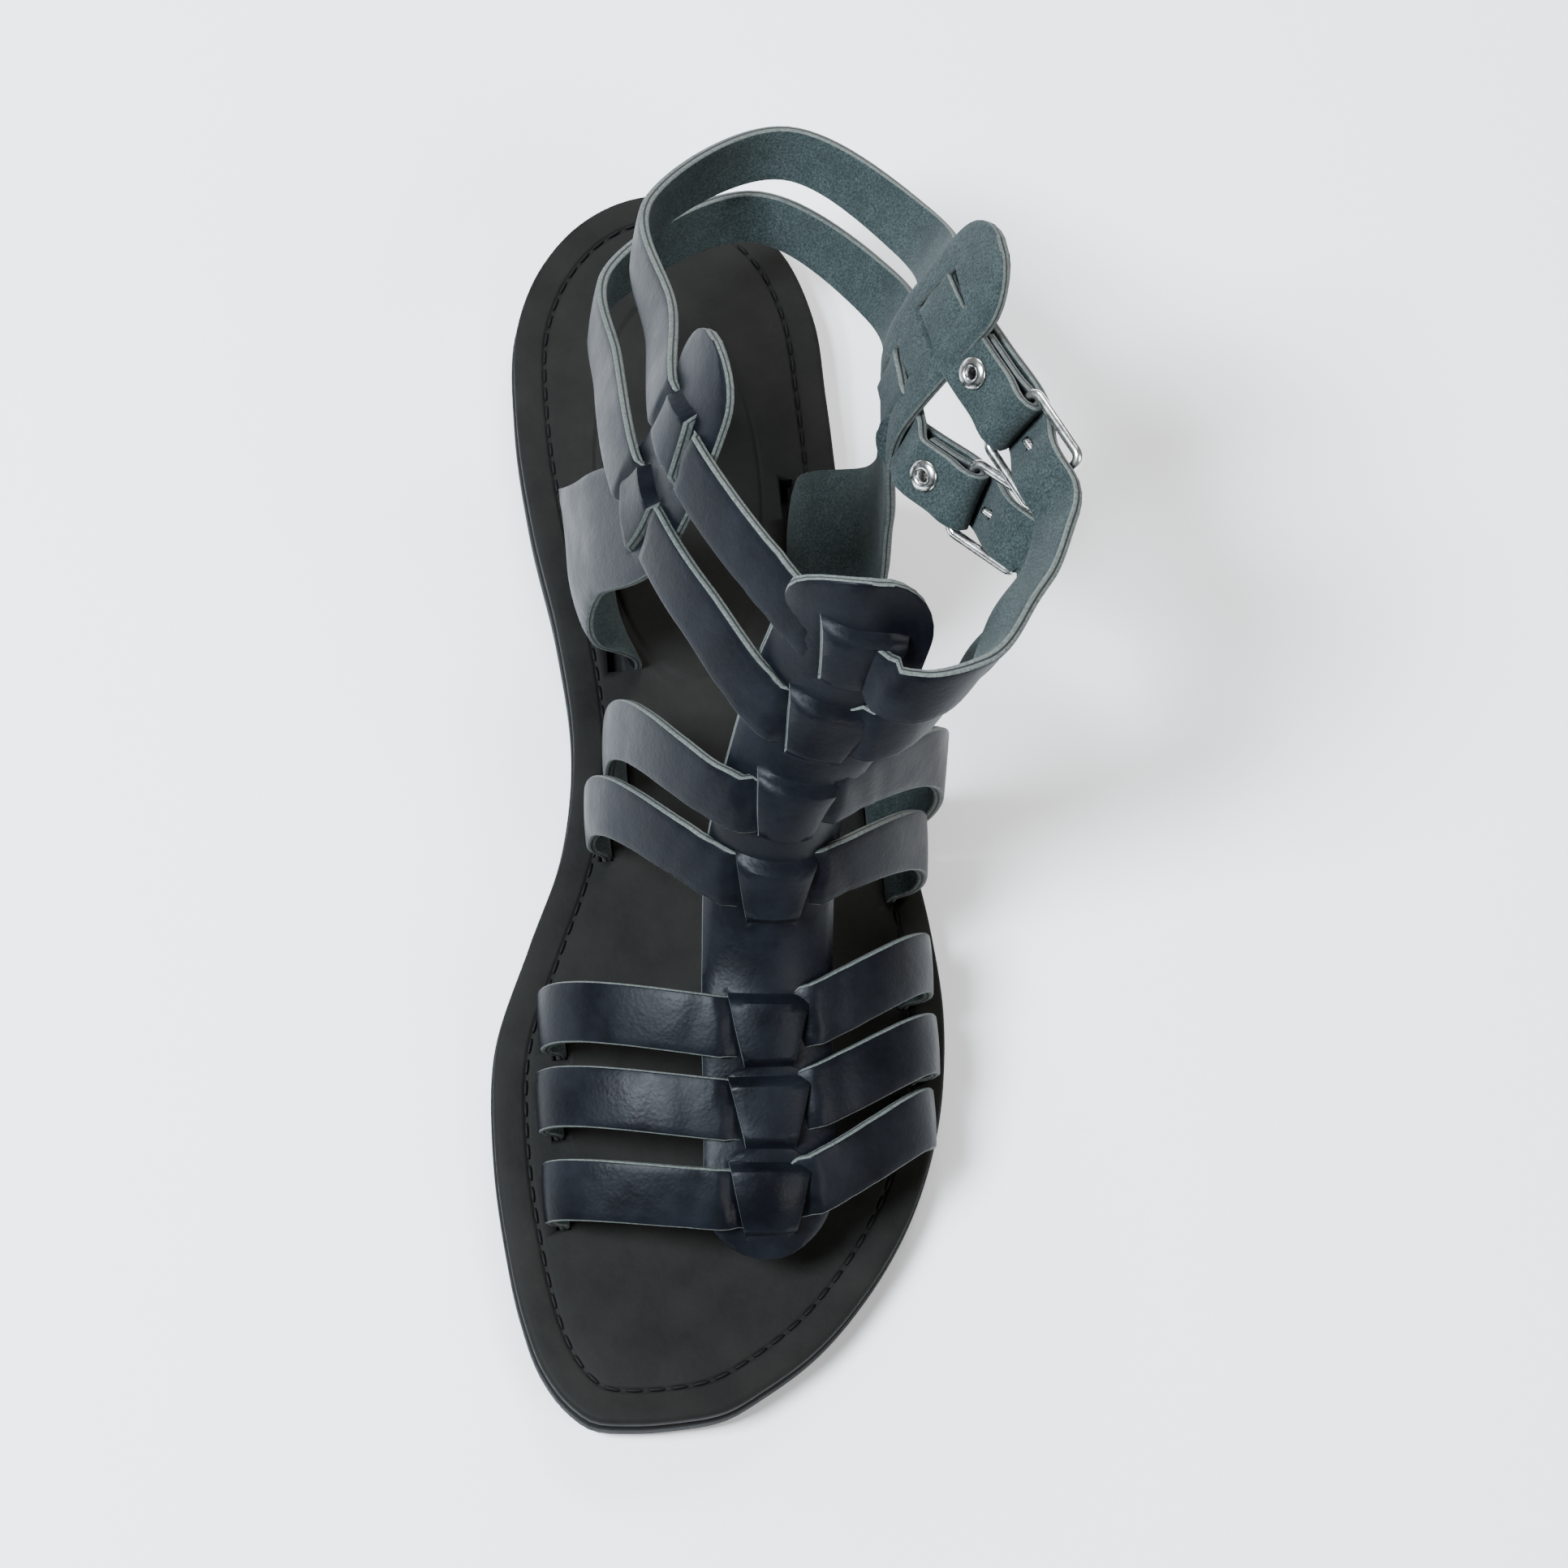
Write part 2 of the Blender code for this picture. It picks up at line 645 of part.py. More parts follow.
def ankle_route(strap, spine, inner_tab, outer_tab):
    """From the buckle's rear bar round the heel and the instep, and back through the buckle."""
    level = TAB_SLITS.index(strap.tab_row)
    seat = BuckleSeat(strap, outer_tab.frame(tab_crossings(outer_tab)[level])[0])
    fold_end = BUCKLE_REACH + strap.fold
    rows = [(place, seat.width)
            for place in (seat.at(FOLD_START, 0.0), rivet_place(strap, seat), seat.at(fold_end, 0.0))]
    crossings = {}
    for name, tab in (("outer", outer_tab), ("inner", inner_tab)):
        place, direction, _, _ = tab.frame(tab_crossings(tab)[level])
        if name == "inner":
            rows += [leaning_row(row) for row in strap.back]
        crossings[name] = len(rows)
        rows.append((place, direction))
    rows += [leaning_row(row) for row in strap.front]
    place, direction, _, _ = spine.frame(spine.knots[strap.spine_row])
    crossings["spine"] = len(rows)
    rows.append((place, direction))
    rows += [leaning_row(row) for row in strap.side]
    rows += [(seat.at(along, out), seat.width) for along, out in threading_rows()]
    route = Route(rows)
    return route, seat, [route.knots[crossings[name]] for name in ("outer", "inner", "spine")]


def make_ankle_strap(strap, route, crossings):
    flat = TONGUE_WIDTH / 2
    front_bar = route.length - 2 * BUCKLE_REACH - APPROACH - TAIL_LENGTH
    ramp = 1.5 * SETTLE_LENGTH
    fold_end = strap.fold + BUCKLE_REACH - FOLD_START
    outside = dipped_level(crossings, flat)

    def level(s, column):
        buckled = ease(1 - (s - fold_end) / SETTLE_LENGTH)
        buckled += ease(1 + (s + SETTLE_LENGTH - front_bar) / ramp)
        return outside(s, column) * (1 - min(1.0, buckled))

    def thickness(s):
        return FOLD_THICKNESS if s <= fold_end else STRAP_THICKNESS

    radius = STRAP_WIDTH / 2
    ends = rounded_ends(route.length, radius, False, True)
    marks = dip_stations(crossings, flat) + [fold_end, fold_end + FOLD_STEP]
    middle = [s for s in even_stations(route.length, marks) if s < route.length - radius]
    return ribbon(strap.name + " ankle strap", route, spread(ends + marks + middle),
                  lambda s: STRAP_WIDTH * round_width(s, route.length, radius, False, True),
                  thickness, level=level)


def make_fold(strap, seat):
    """The strap's end turned round the buckle's rear bar."""
    lap = FOLD_START + FOLD_LAP
    layer = FOLD_SPREAD * STRAP_THICKNESS
    rows = [(seat.at(lap, layer), seat.width)]
    for angle in FOLD_TURNS:
        turn = math.radians(angle)
        along = BUCKLE_REACH + FOLD_RADIUS * math.cos(turn)
        rows.append((seat.at(along, FOLD_RADIUS * math.sin(turn)), seat.width))
    rows.append((seat.at(lap, -layer), seat.width))
    route = Route(rows)
    stations = [route.length * i / FOLD_STATIONS for i in range(FOLD_STATIONS + 1)]
    return ribbon(strap.name + " fold", route, stations, constant(STRAP_WIDTH - 2 * FOLD_INSET),
                  constant(STRAP_THICKNESS))


def rod(name, points, diameter, side, sides=8):
    """A round solid rod through points that lie in a plane square to side."""
    vertices, faces = [], []
    last = len(points) - 1
    for i, point in enumerate(points):
        direction = unit(points[min(i + 1, last)] - points[max(i - 1, 0)])
        other = np.cross(direction, side)
        for k in range(sides):
            turn = 2 * math.pi * k / sides
            vertices.append(point + diameter / 2 * (math.cos(turn) * side + math.sin(turn) * other))
    for i in range(last):
        for k in range(sides):
            a, b = i * sides + k, i * sides + (k + 1) % sides
            faces.append((a, b, b + sides, a + sides))
    faces.append(tuple(reversed(range(sides))))
    faces.append(tuple(last * sides + k for k in range(sides)))
    return mesh_object(name, vertices, faces)


def wire_frame(name, points, diameter):
    """A closed frame of round wire through points."""
    curve = bpy.data.curves.new(name, "CURVE")
    curve.dimensions = "3D"
    curve.bevel_depth = diameter / 2
    curve.bevel_resolution = 2
    spline = curve.splines.new("POLY")
    spline.points.add(len(points) - 1)
    for target, point in zip(spline.points, points):
        target.co = (*point, 1.0)
    spline.use_cyclic_u = True
    made = bpy.data.objects.new(name, curve)
    bpy.context.scene.collection.objects.link(made)
    return made


def make_buckle(strap, seat):
    """A rectangular frame of round wire with rounded corners."""
    side = STRAP_WIDTH / 2 + BUCKLE_SIDE_GAP + BUCKLE_WIRE / 2
    points = []
    for corner in range(4):
        along = BUCKLE_REACH - BUCKLE_CORNER
        across = side - BUCKLE_CORNER
        along = along if corner in (0, 3) else -along
        across = across if corner in (0, 1) else -across
        for step in range(5):
            turn = math.radians(90 * corner + 22.5 * step)
            points.append(seat.at(along + BUCKLE_CORNER * math.cos(turn), 0.0,
                                  across + BUCKLE_CORNER * math.sin(turn)))
    made = wire_frame("buckle_" + strap.name, points, BUCKLE_WIRE)
    give_material(made, "nickel " + made.name, NICKEL)
    return made


def prong_rows():
    rest = BUCKLE_WIRE / 2 + CLEARANCE + PRONG_DIAMETER / 2
    heel = BUCKLE_REACH - FOLD_RADIUS - STRAP_THICKNESS / 2 - CLEARANCE - PRONG_DIAMETER
    return [(row.behind * heel - row.ahead * BUCKLE_REACH - row.beyond * BUCKLE_WIRE, row.rest * rest)
            for row in PRONG_ROWS]


def make_prong(strap, seat):
    points = [seat.at(along, out) for along, out in prong_rows()]
    made = rod("prong_" + strap.name, points, PRONG_DIAMETER, seat.width)
    give_material(made, "nickel " + made.name, NICKEL)
    return made


def turned(name, profile, centre, axis, side, sides=16):
    """A solid turned about axis through centre from a closed profile of (radius, height)."""
    other = np.cross(axis, side)
    vertices, faces = [], []
    count = len(profile)
    for k in range(sides):
        turn = 2 * math.pi * k / sides
        ray = math.cos(turn) * side + math.sin(turn) * other
        vertices += [centre + radius * ray + height * axis for radius, height in profile]
    for k in range(sides):
        a, b = k * count, (k + 1) % sides * count
        for j in range(count):
            n = (j + 1) % count
            faces.append((a + j, b + j, b + n, a + n))
    return mesh_object(name, vertices, faces)


def rivet_place(strap, seat):
    return seat.at(BUCKLE_REACH + RIVET_SHARE * strap.fold, 0.0)


def make_rivet(strap, seat):
    """A tube rivet through the folded strap, with a flat head on both sides."""
    seat_height = FOLD_THICKNESS / 2 + CLEARANCE
    head = RIVET_HEAD_DIAMETER / 2
    shank = RIVET_SHANK_DIAMETER / 2
    bore = RIVET_BORE_DIAMETER / 2
    top = seat_height + RIVET_HEAD_HEIGHT
    rim = seat_height + RIVET_RIM * RIVET_HEAD_HEIGHT
    face = RIVET_FACE * head
    profile = ((bore, -top), (face, -top), (head, -rim), (head, -seat_height),
               (shank, -seat_height), (shank, seat_height), (head, seat_height), (head, rim),
               (face, top), (bore, top))
    made = turned("rivet_" + strap.name, profile, rivet_place(strap, seat), seat.outward, seat.run)
    give_material(made, "nickel " + made.name, NICKEL)
    return made


def rivet_cutter(strap, seat):
    radius = RIVET_SHANK_DIAMETER / 2 + CLEARANCE
    reach = FOLD_THICKNESS / 2 + 0.4 * TAIL_GAP
    points = [rivet_place(strap, seat) - reach * seat.outward, rivet_place(strap, seat) + reach * seat.outward]
    return rod(strap.name + " rivet hole", points, 2 * radius, seat.width, sides=16)


def prong_cutter(strap, seat):
    """The hole that the prong passes through, longer than wide because the prong is slanted."""
    rows = prong_rows()[:4]
    points = [seat.at(along, out) for along, out in rows]
    return rod(strap.name + " prong hole", points, PRONG_DIAMETER + 2 * CLEARANCE, seat.width)


def slot_cutter(name, root, width):
    guide = (0.0, 1.0, 0.0)
    low = SLOT_DEPTH_START - INSOLE_THICKNESS / 2
    high = FOOTBED + INSOLE_THICKNESS / 2
    route = Route([((root[0], root[1], low), guide), ((root[0], root[1], high), guide)])
    return ribbon(name, route, [0.0, route.length], constant(width + 2 * CLEARANCE),
                  constant(STRAP_THICKNESS + 2 * CLEARANCE))


def slot_roots():
    for strap in CROSS_STRAPS:
        for name, side in (("inner", strap.inner), ("outer", strap.outer)):
            yield f"{strap.name} {name} slot", over_last(Place(side.across, side.along, 0.0)), STRAP_WIDTH
    for name, tab in (("inner", INNER_TAB), ("outer", OUTER_TAB)):
        yield f"{name} tab slot", over_last(tab[0]), TAB_BASE_WIDTH


def make_soles():
    outsole = slab("outsole", 0.0, 0.0, OUTSOLE_THICKNESS)
    give_material(outsole, "rubber outsole", RUBBER)
    insole = slab("insole", INSOLE_INSET, SLOT_DEPTH_START, FOOTBED)
    give_material(insole, "leather footbed", FOOTBED_LEATHER)
    for name, root, width in slot_roots():
        add_boolean(insole, slot_cutter(name, root, width), "DIFFERENCE")


def make_upper():
    spine = spine_route()
    inner_tab = tab_route(INNER_TAB, 1.0)
    outer_tab = tab_route(OUTER_TAB, -1.0)
    upper = make_spine(spine)
    upper.name = "upper"
    joined = [make_cross_strap(strap, spine) for strap in CROSS_STRAPS]
    joined += [make_tab("inner tab", inner_tab), make_tab("outer tab", outer_tab)]
    cutters = []
    for strap in ANKLE_STRAPS:
        route, seat, crossings = ankle_route(strap, spine, inner_tab, outer_tab)
        joined += [make_ankle_strap(strap, route, crossings), make_fold(strap, seat)]
        cutters += [rivet_cutter(strap, seat), prong_cutter(strap, seat)]
        make_buckle(strap, seat)
        make_prong(strap, seat)
        make_rivet(strap, seat)
    for piece in joined:
        add_boolean(upper, piece, "UNION")
    for cutter in cutters:
        add_boolean(upper, cutter, "DIFFERENCE")
    fill_voids(upper)
    give_material(upper, "strap leather", LEATHER)


def main():
    clear_scene()
    make_soles()
    make_upper()


main()
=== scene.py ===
import math
from collections import namedtuple

import bmesh
import bpy
import numpy as np
from mathutils import Matrix, Vector


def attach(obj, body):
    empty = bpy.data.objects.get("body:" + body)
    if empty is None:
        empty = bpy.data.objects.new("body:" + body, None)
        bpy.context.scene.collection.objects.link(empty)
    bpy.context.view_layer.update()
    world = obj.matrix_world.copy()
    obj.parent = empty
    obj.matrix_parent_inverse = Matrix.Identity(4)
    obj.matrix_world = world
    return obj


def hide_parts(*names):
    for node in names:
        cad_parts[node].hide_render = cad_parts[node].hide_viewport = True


# Left gladiator sandal in black leather. Metres, toe to -Y, outer side of the foot to +X.
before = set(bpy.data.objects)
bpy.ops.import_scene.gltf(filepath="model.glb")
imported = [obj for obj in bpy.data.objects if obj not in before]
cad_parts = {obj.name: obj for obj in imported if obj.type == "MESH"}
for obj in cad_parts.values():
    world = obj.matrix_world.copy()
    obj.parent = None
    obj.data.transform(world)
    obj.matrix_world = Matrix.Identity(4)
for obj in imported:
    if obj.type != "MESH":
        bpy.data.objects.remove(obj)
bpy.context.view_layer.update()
scene = bpy.context.scene

last = {
    "soleLength": 0.260,
    "ballWidth": 0.0900,
    "heelWidth": 0.0646,
    "ankleHeight": 0.090,
    "toeSpring": 0.0020,
    "toeSpringStart": 0.72,
    "outsole": 0.0055,
    "insole": 0.0035,
    "gap": 0.0003,
}
insoleBottom = last["outsole"] + last["gap"]
footbed = insoleBottom + last["insole"]

strap = {
    "width": 0.0115,
    "thickness": 0.0021,
    "corner": 0.0005,      # rounding of the cut edges
    "columns": 8,          # strips across one face
    "step": 0.0016,        # length of one strip along
    "crown": 0.00025,      # how far the middle stands above the edges
    "pinch": 0.08,         # share of the width lost under a laced strip
}


def ease(share):
    share = min(1.0, max(0.0, share))
    return share * share * (3 - 2 * share)


def halfWidth(along):
    mix = ease((along + 0.3) / 0.8)
    return 0.5 * (last["ballWidth"] * (1 - mix) + last["heelWidth"] * mix)


def overLast(across, along, up):
    return np.array((across * halfWidth(along), along * last["soleLength"] / 2,
                     footbed + up * last["ankleHeight"]))


def unit(vector):
    vector = np.asarray(vector, dtype=float)
    return vector / np.linalg.norm(vector)


def smoothRows(rows, steps):
    knots = np.array(rows, dtype=float)
    gaps = np.maximum(np.linalg.norm(np.diff(knots[:, :3], axis=0), axis=1), 1e-6)
    slopes = np.diff(knots, axis=0) / gaps[:, None]
    tangents = np.empty_like(knots)
    tangents[0], tangents[-1] = slopes[0], slopes[-1]
    before, after = gaps[:-1, None], gaps[1:, None]
    tangents[1:-1] = (slopes[:-1] * after + slopes[1:] * before) / (before + after)
    points = []
    for i, gap in enumerate(gaps):
        for k in range(steps):
            t = k / steps
            start = (1 + 2 * t) * (1 - t) ** 2 * knots[i] + t * (1 - t) ** 2 * gap * tangents[i]
            points.append(start + t * t * (3 - 2 * t) * knots[i + 1]
                          + t * t * (t - 1) * gap * tangents[i + 1])
    points.append(knots[-1])
    return np.array(points)


class StrapPath:
    # rows are (place, guide): the width of the strap follows the guide
    dense = 24

    def __init__(self, rows):
        self.rows = smoothRows([(*place, *guide) for place, guide in rows], self.dense)
        steps = np.linalg.norm(np.diff(self.rows[:, :3], axis=0), axis=1)
        self.lengths = np.concatenate(([0.0], np.cumsum(steps)))
        self.length = self.lengths[-1]
        self.knots = self.lengths[:: self.dense]

    def row(self, s):
        return np.array([np.interp(s, self.lengths, column) for column in self.rows.T])

    def frameAt(self, s):
        reach = 0.0006
        low, high = max(0.0, s - reach), min(self.length, s + reach)
        direction = unit(self.row(high)[:3] - self.row(low)[:3])
        row = self.row(s)
        width = unit(row[3:] - np.dot(row[3:], direction) * direction)
        return row[:3], direction, width, np.cross(direction, width)


def hump(distance, flat, ramp):
    return 1.0 - ease((abs(distance) - flat) / ramp)


# Materials
finishes = {
    "grain": {"colour": (0.0020, 0.0024, 0.0036), "light": (0.0052, 0.0062, 0.0086),
              "roughness": 0.38, "pebble": 1500, "shine": 0.07},
    "suede": {"colour": (0.0095, 0.0150, 0.0155), "light": (0.0440, 0.0590, 0.0580),
              "roughness": 0.95, "nap": 2200},
    "cutEdge": {"colour": (0.075, 0.084, 0.078), "line": (0.010, 0.011, 0.011), "roughness": 0.70},
    "footbed": {"colour": (0.0066, 0.0066, 0.0060), "light": (0.0105, 0.0104, 0.0094),
                "roughness": 0.62, "pebble": 1100, "shine": 0.06},
    "rubber": {"colour": (0.0030, 0.0030, 0.0030), "light": (0.0060, 0.0058, 0.0055),
               "roughness": 0.70, "pebble": 2200, "shine": 0.12},
    "thread": {"colour": (0.0012, 0.0012, 0.0014), "roughness": 0.65},
    "nickel": {"colour": (0.62, 0.62, 0.60), "roughness": 0.20},
}


Net = namedtuple("Net", "nodes links shader place")


def netOf(material):
    nodes = material.node_tree.nodes
    place = nodes.new("ShaderNodeTexCoord").outputs["Object"]
    return Net(nodes, material.node_tree.links, nodes["Principled BSDF"], place)


def newMaterial(name):
    material = bpy.data.materials.new(name)
    material.use_nodes = True
    return material, netOf(material)


def setInputs(node, values):
    for name, value in values.items():
        node.inputs[name].default_value = value


def noiseTexture(net, scale, detail=4.0, roughness=0.6):
    texture = net.nodes.new("ShaderNodeTexNoise")
    setInputs(texture, {"Scale": scale, "Detail": detail, "Roughness": roughness})
    net.links.new(net.place, texture.inputs["Vector"])
    return texture.outputs["Fac"]


def mapRange(net, value, low, high, toLow=0.0, toHigh=1.0):
    node = net.nodes.new("ShaderNodeMapRange")
    setInputs(node, {"From Min": low, "From Max": high, "To Min": toLow, "To Max": toHigh})
    net.links.new(value, node.inputs["Value"])
    return node.outputs["Result"]


def mixColour(net, share, first, second):
    node = net.nodes.new("ShaderNodeMix")
    node.data_type = "RGBA"
    net.links.new(share, node.inputs["Factor"])
    for socket, colour in ((node.inputs[6], first), (node.inputs[7], second)):
        if isinstance(colour, tuple):
            socket.default_value = (*colour, 1.0)
        else:
            net.links.new(colour, socket)
    return node.outputs[2]


def bumpFrom(net, height, strength, distance, before=None):
    node = net.nodes.new("ShaderNodeBump")
    setInputs(node, {"Strength": strength, "Distance": distance})
    net.links.new(height, node.inputs["Height"])
    if before:
        net.links.new(before, node.inputs["Normal"])
    return node.outputs["Normal"]


def leatherMaterial(name, look):
    # fine pebbled grain over a soft mottle, with duller pores
    material, net = newMaterial(name)
    pebbles = net.nodes.new("ShaderNodeTexVoronoi")
    pebbles.feature = "SMOOTH_F1"
    pebbles.inputs["Scale"].default_value = look["pebble"]
    net.links.new(net.place, pebbles.inputs["Vector"])
    mottle = noiseTexture(net, 90, 5.0)
    share = mapRange(net, mottle, 0.35, 0.68)
    net.links.new(mixColour(net, share, look["colour"], look["light"]), net.shader.inputs["Base Color"])
    rough = mapRange(net, mottle, 0.3, 0.7, look["roughness"] - 0.06, look["roughness"] + 0.09)
    net.links.new(rough, net.shader.inputs["Roughness"])
    soft = bumpFrom(net, noiseTexture(net, 260, 3.0), 0.25, 0.0004)
    fine = bumpFrom(net, pebbles.outputs["Distance"], 0.22, 0.00012, soft)
    net.links.new(fine, net.shader.inputs["Normal"])
    net.shader.inputs["Specular IOR Level"].default_value = look["shine"]
    return material


# The plain oval line pressed into the heel of the footbed
ovalGroove = {"centre": (0.0, 0.062, 0.0), "radii": (0.0168, 0.0430, 1.0), "half": 0.04, "depth": 0.0004}


def mathNode(net, kind, operation, value, second=None):
    node = net.nodes.new(kind)
    node.operation = operation
    net.links.new(value, node.inputs[0])
    if second is not None:
        node.inputs[1].default_value = second
    return node.outputs


def pressOval(material, look):
    net = netOf(material)
    place = net.nodes.new("ShaderNodeMapping")
    place.vector_type = "TEXTURE"
    setInputs(place, {"Location": look["centre"], "Scale": look["radii"]})
    net.links.new(net.place, place.inputs["Vector"])
    flat = mathNode(net, "ShaderNodeVectorMath", "MULTIPLY", place.outputs["Vector"], (1.0, 1.0, 0.0))
    radius = mathNode(net, "ShaderNodeVectorMath", "LENGTH", flat["Vector"])
    offLine = mathNode(net, "ShaderNodeMath", "SUBTRACT", radius["Value"], 1.0)
    distance = mathNode(net, "ShaderNodeMath", "ABSOLUTE", offLine[0])
    height = mapRange(net, distance[0], 0.0, look["half"])
    before = net.shader.inputs["Normal"].links[0].from_socket
    net.links.new(bumpFrom(net, height, 0.6, look["depth"], before), net.shader.inputs["Normal"])


def suedeMaterial(name, look):
    material, net = newMaterial(name)
    nap = noiseTexture(net, look["nap"], 6.0, 0.75)
    patches = noiseTexture(net, 220, 4.0)
    speckle = mapRange(net, nap, 0.40, 0.62)
    fine = mixColour(net, speckle, look["colour"], look["light"])
    share = mapRange(net, patches, 0.30, 0.75, 0.0, 0.6)
    net.links.new(mixColour(net, share, fine, look["colour"]), net.shader.inputs["Base Color"])
    setInputs(net.shader, {"Roughness": look["roughness"], "Sheen Weight": 0.06, "Sheen Roughness": 0.5,
                           "Specular IOR Level": 0.10})
    net.links.new(bumpFrom(net, nap, 0.6, 0.0003), net.shader.inputs["Normal"])
    return material


def cutEdgeMaterial(name, look):
    # two layers of leather show as two pale lines with the dark glue line between them
    material, net = newMaterial(name)
    through = net.nodes.new("ShaderNodeAttribute")
    through.attribute_name = "through"
    line = mathNode(net, "ShaderNodeMath", "ABSOLUTE", through.outputs["Fac"])
    dark = mapRange(net, line[0], 0.10, 0.28)
    fibre = noiseTexture(net, 1900, 4.0)
    pale = mixColour(net, mapRange(net, fibre, 0.3, 0.7),
                     tuple(0.55 * c for c in look["colour"]), tuple(1.35 * c for c in look["colour"]))
    net.links.new(mixColour(net, dark, look["line"], pale), net.shader.inputs["Base Color"])
    setInputs(net.shader, {"Roughness": look["roughness"], "Specular IOR Level": 0.2})
    net.links.new(bumpFrom(net, fibre, 0.5, 0.0002), net.shader.inputs["Normal"])
    return material


def nickelMaterial(name, look):
    material, net = newMaterial(name)
    setInputs(net.shader, {"Base Color": (*look["colour"], 1.0), "Metallic": 1.0})
    smudges = noiseTexture(net, 400, 4.0)
    rough = mapRange(net, smudges, 0.3, 0.7, look["roughness"] - 0.06, look["roughness"] + 0.12)
    net.links.new(rough, net.shader.inputs["Roughness"])
    return material


def threadMaterial(name, look):
    material, net = newMaterial(name)
    setInputs(net.shader, {"Base Color": (*look["colour"], 1.0), "Roughness": look["roughness"],
                           "Specular IOR Level": 0.15})
    net.links.new(bumpFrom(net, noiseTexture(net, 3500, 3.0), 0.4, 0.0001), net.shader.inputs["Normal"])
    return material


grain = leatherMaterial("blackGrainLeather", finishes["grain"])
suede = suedeMaterial("greySuedeBack", finishes["suede"])
cutEdge = cutEdgeMaterial("rawCutEdge", finishes["cutEdge"])
footbedLeather = leatherMaterial("charcoalFootbedLeather", finishes["footbed"])
pressOval(footbedLeather, ovalGroove)
rubber = leatherMaterial("blackSoleRubber", finishes["rubber"])
thread = threadMaterial("blackThread", finishes["thread"])
nickel = nickelMaterial("polishedNickel", finishes["nickel"])
print("materials made")


# Meshes
def meshPiece(name, vertices, faces, materials, faceMaterials=None, smooth=True):
    mesh = bpy.data.meshes.new(name)
    mesh.from_pydata([tuple(v) for v in vertices], [], faces)
    for material in materials:
        mesh.materials.append(material)
    if faceMaterials is not None:
        mesh.polygons.foreach_set("material_index", faceMaterials)
    mesh.polygons.foreach_set("use_smooth", [smooth] * len(mesh.polygons))
    mesh.update()
    piece = bpy.data.objects.new(name, mesh)
    scene.collection.objects.link(piece)
    return piece


def reworked(piece, change):
    work = bmesh.new()
    work.from_mesh(piece.data)
    change(work)
    work.to_mesh(piece.data)
    work.free()
    return piece


def storeThrough(piece, values):
    layer = piece.data.attributes.new("through", "FLOAT", "POINT")
    layer.data.foreach_set("value", np.asarray(values, dtype=np.float32))


def stripRing(width, thickness, columns, corner):
    # the section of a strap: (across, out, material of the segment that follows)
    w, t = width / 2, thickness / 2
    ring = [(-w + corner + (2 * w - 2 * corner) * k / columns, t, 0) for k in range(columns)]
    turns = (90, 60, 30)
    ring += [(w - corner + corner * math.cos(math.radians(a)),
              t - corner + corner * math.sin(math.radians(a)), 0 if a > 60 else 1) for a in turns]
    ring.append((w, t - corner, 1))
    ring.append((w, 0.0, 1))
    ring.append((w, -t + corner, 1))
    ring += [(w - corner + corner * math.cos(math.radians(a)),
              -t + corner - corner * math.sin(math.radians(a)), 1 if a < 60 else 2) for a in (30, 60)]
    ring += [(w - corner - (2 * w - 2 * corner) * k / columns, -t, 2) for k in range(columns)]
    mirrored = [(-a, -o, 2 if m == 0 else (0 if m == 2 else 1)) for a, o, m in ring[columns:columns + 8]]
    return ring + mirrored


def leatherStrip(name, path, stations, widthAt, thickness, levelAt):
    ring = stripRing(strap["width"], thickness, strap["columns"], strap["corner"])
    count = len(ring)
    vertices, through = [], []
    for s in stations:
        place, _, across, out = path.frameAt(s)
        share = widthAt(s) / strap["width"]
        for a, o, _ in ring:
            column = 2 * a / strap["width"]
            rise = levelAt(s, column) + strap["crown"] * (0.4 - column * column)
            vertices.append(place + across * a * share + out * (o + rise))
            through.append(2 * o / thickness)
    faces, indices = [], []
    for i in range(len(stations) - 1):
        for j in range(count):
            n = (j + 1) % count
            faces.append((i * count + j, (i + 1) * count + j, (i + 1) * count + n, i * count + n))
            indices.append(ring[j][2])
    top = (len(stations) - 1) * count
    faces += [tuple(range(count)), tuple(top + j for j in reversed(range(count)))]
    indices += [1, 1]
    piece = meshPiece(name, vertices, faces, [grain, cutEdge, suede], indices)
    storeThrough(piece, through)
    return piece


def evenStations(length, start=0.0):
    count = max(4, round((length - start) / strap["step"]))
    return [start + (length - start) * i / count for i in range(count + 1)]


def roundTip(stations, tip, radius, atEnd=True):
    # swaps the stations near a round end for ones that draw its arc
    arcs = [radius * (1 - math.cos(math.radians(a))) for a in (10, 22, 34, 46, 58, 70, 80)]
    if atEnd:
        return [s for s in stations if s < tip - arcs[-1]] + sorted(tip - a for a in arcs)
    return sorted(tip + a for a in arcs) + [s for s in stations if s > tip + arcs[-1]]


def roundShare(reach, radius):
    reach = min(max(reach, 0.0), radius)
    return math.sqrt(max(0.0, 1 - (1 - reach / radius) ** 2))


# Strips with slits: a centre strip rises over each strap that is laced through it
lacing = {
    "slitHalf": 0.0068,
    "narrowHalf": 0.0046,    # half width of the strip at the toe end of a slit
    "wideHalf": 0.0078,      # and at its heel end
    "tabLow": 0.0066,        # the same for a tab, at the foot and the top of a slit
    "tabHigh": 0.0046,
    "flat": 0.0050,
    "ramp": 0.0019,
    "lift": 1.02,            # rise in strap thicknesses
    "bow": 0.15,             # share of the rise by which the strip is domed
    "dipRamp": 0.0017,       # stretch over which a strap comes up beside the strip
    "bendReach": 0.0110,     # how far out the bend of a laced strap is measured
    "bendMost": 70.0,
    "bendLeast": -8.0,
    "edgeMost": 0.72,        # most of the half width that a slit may stand at
    "softEdge": 0.00035,
    "sideColumns": 4,
    "middleColumns": 8,
}


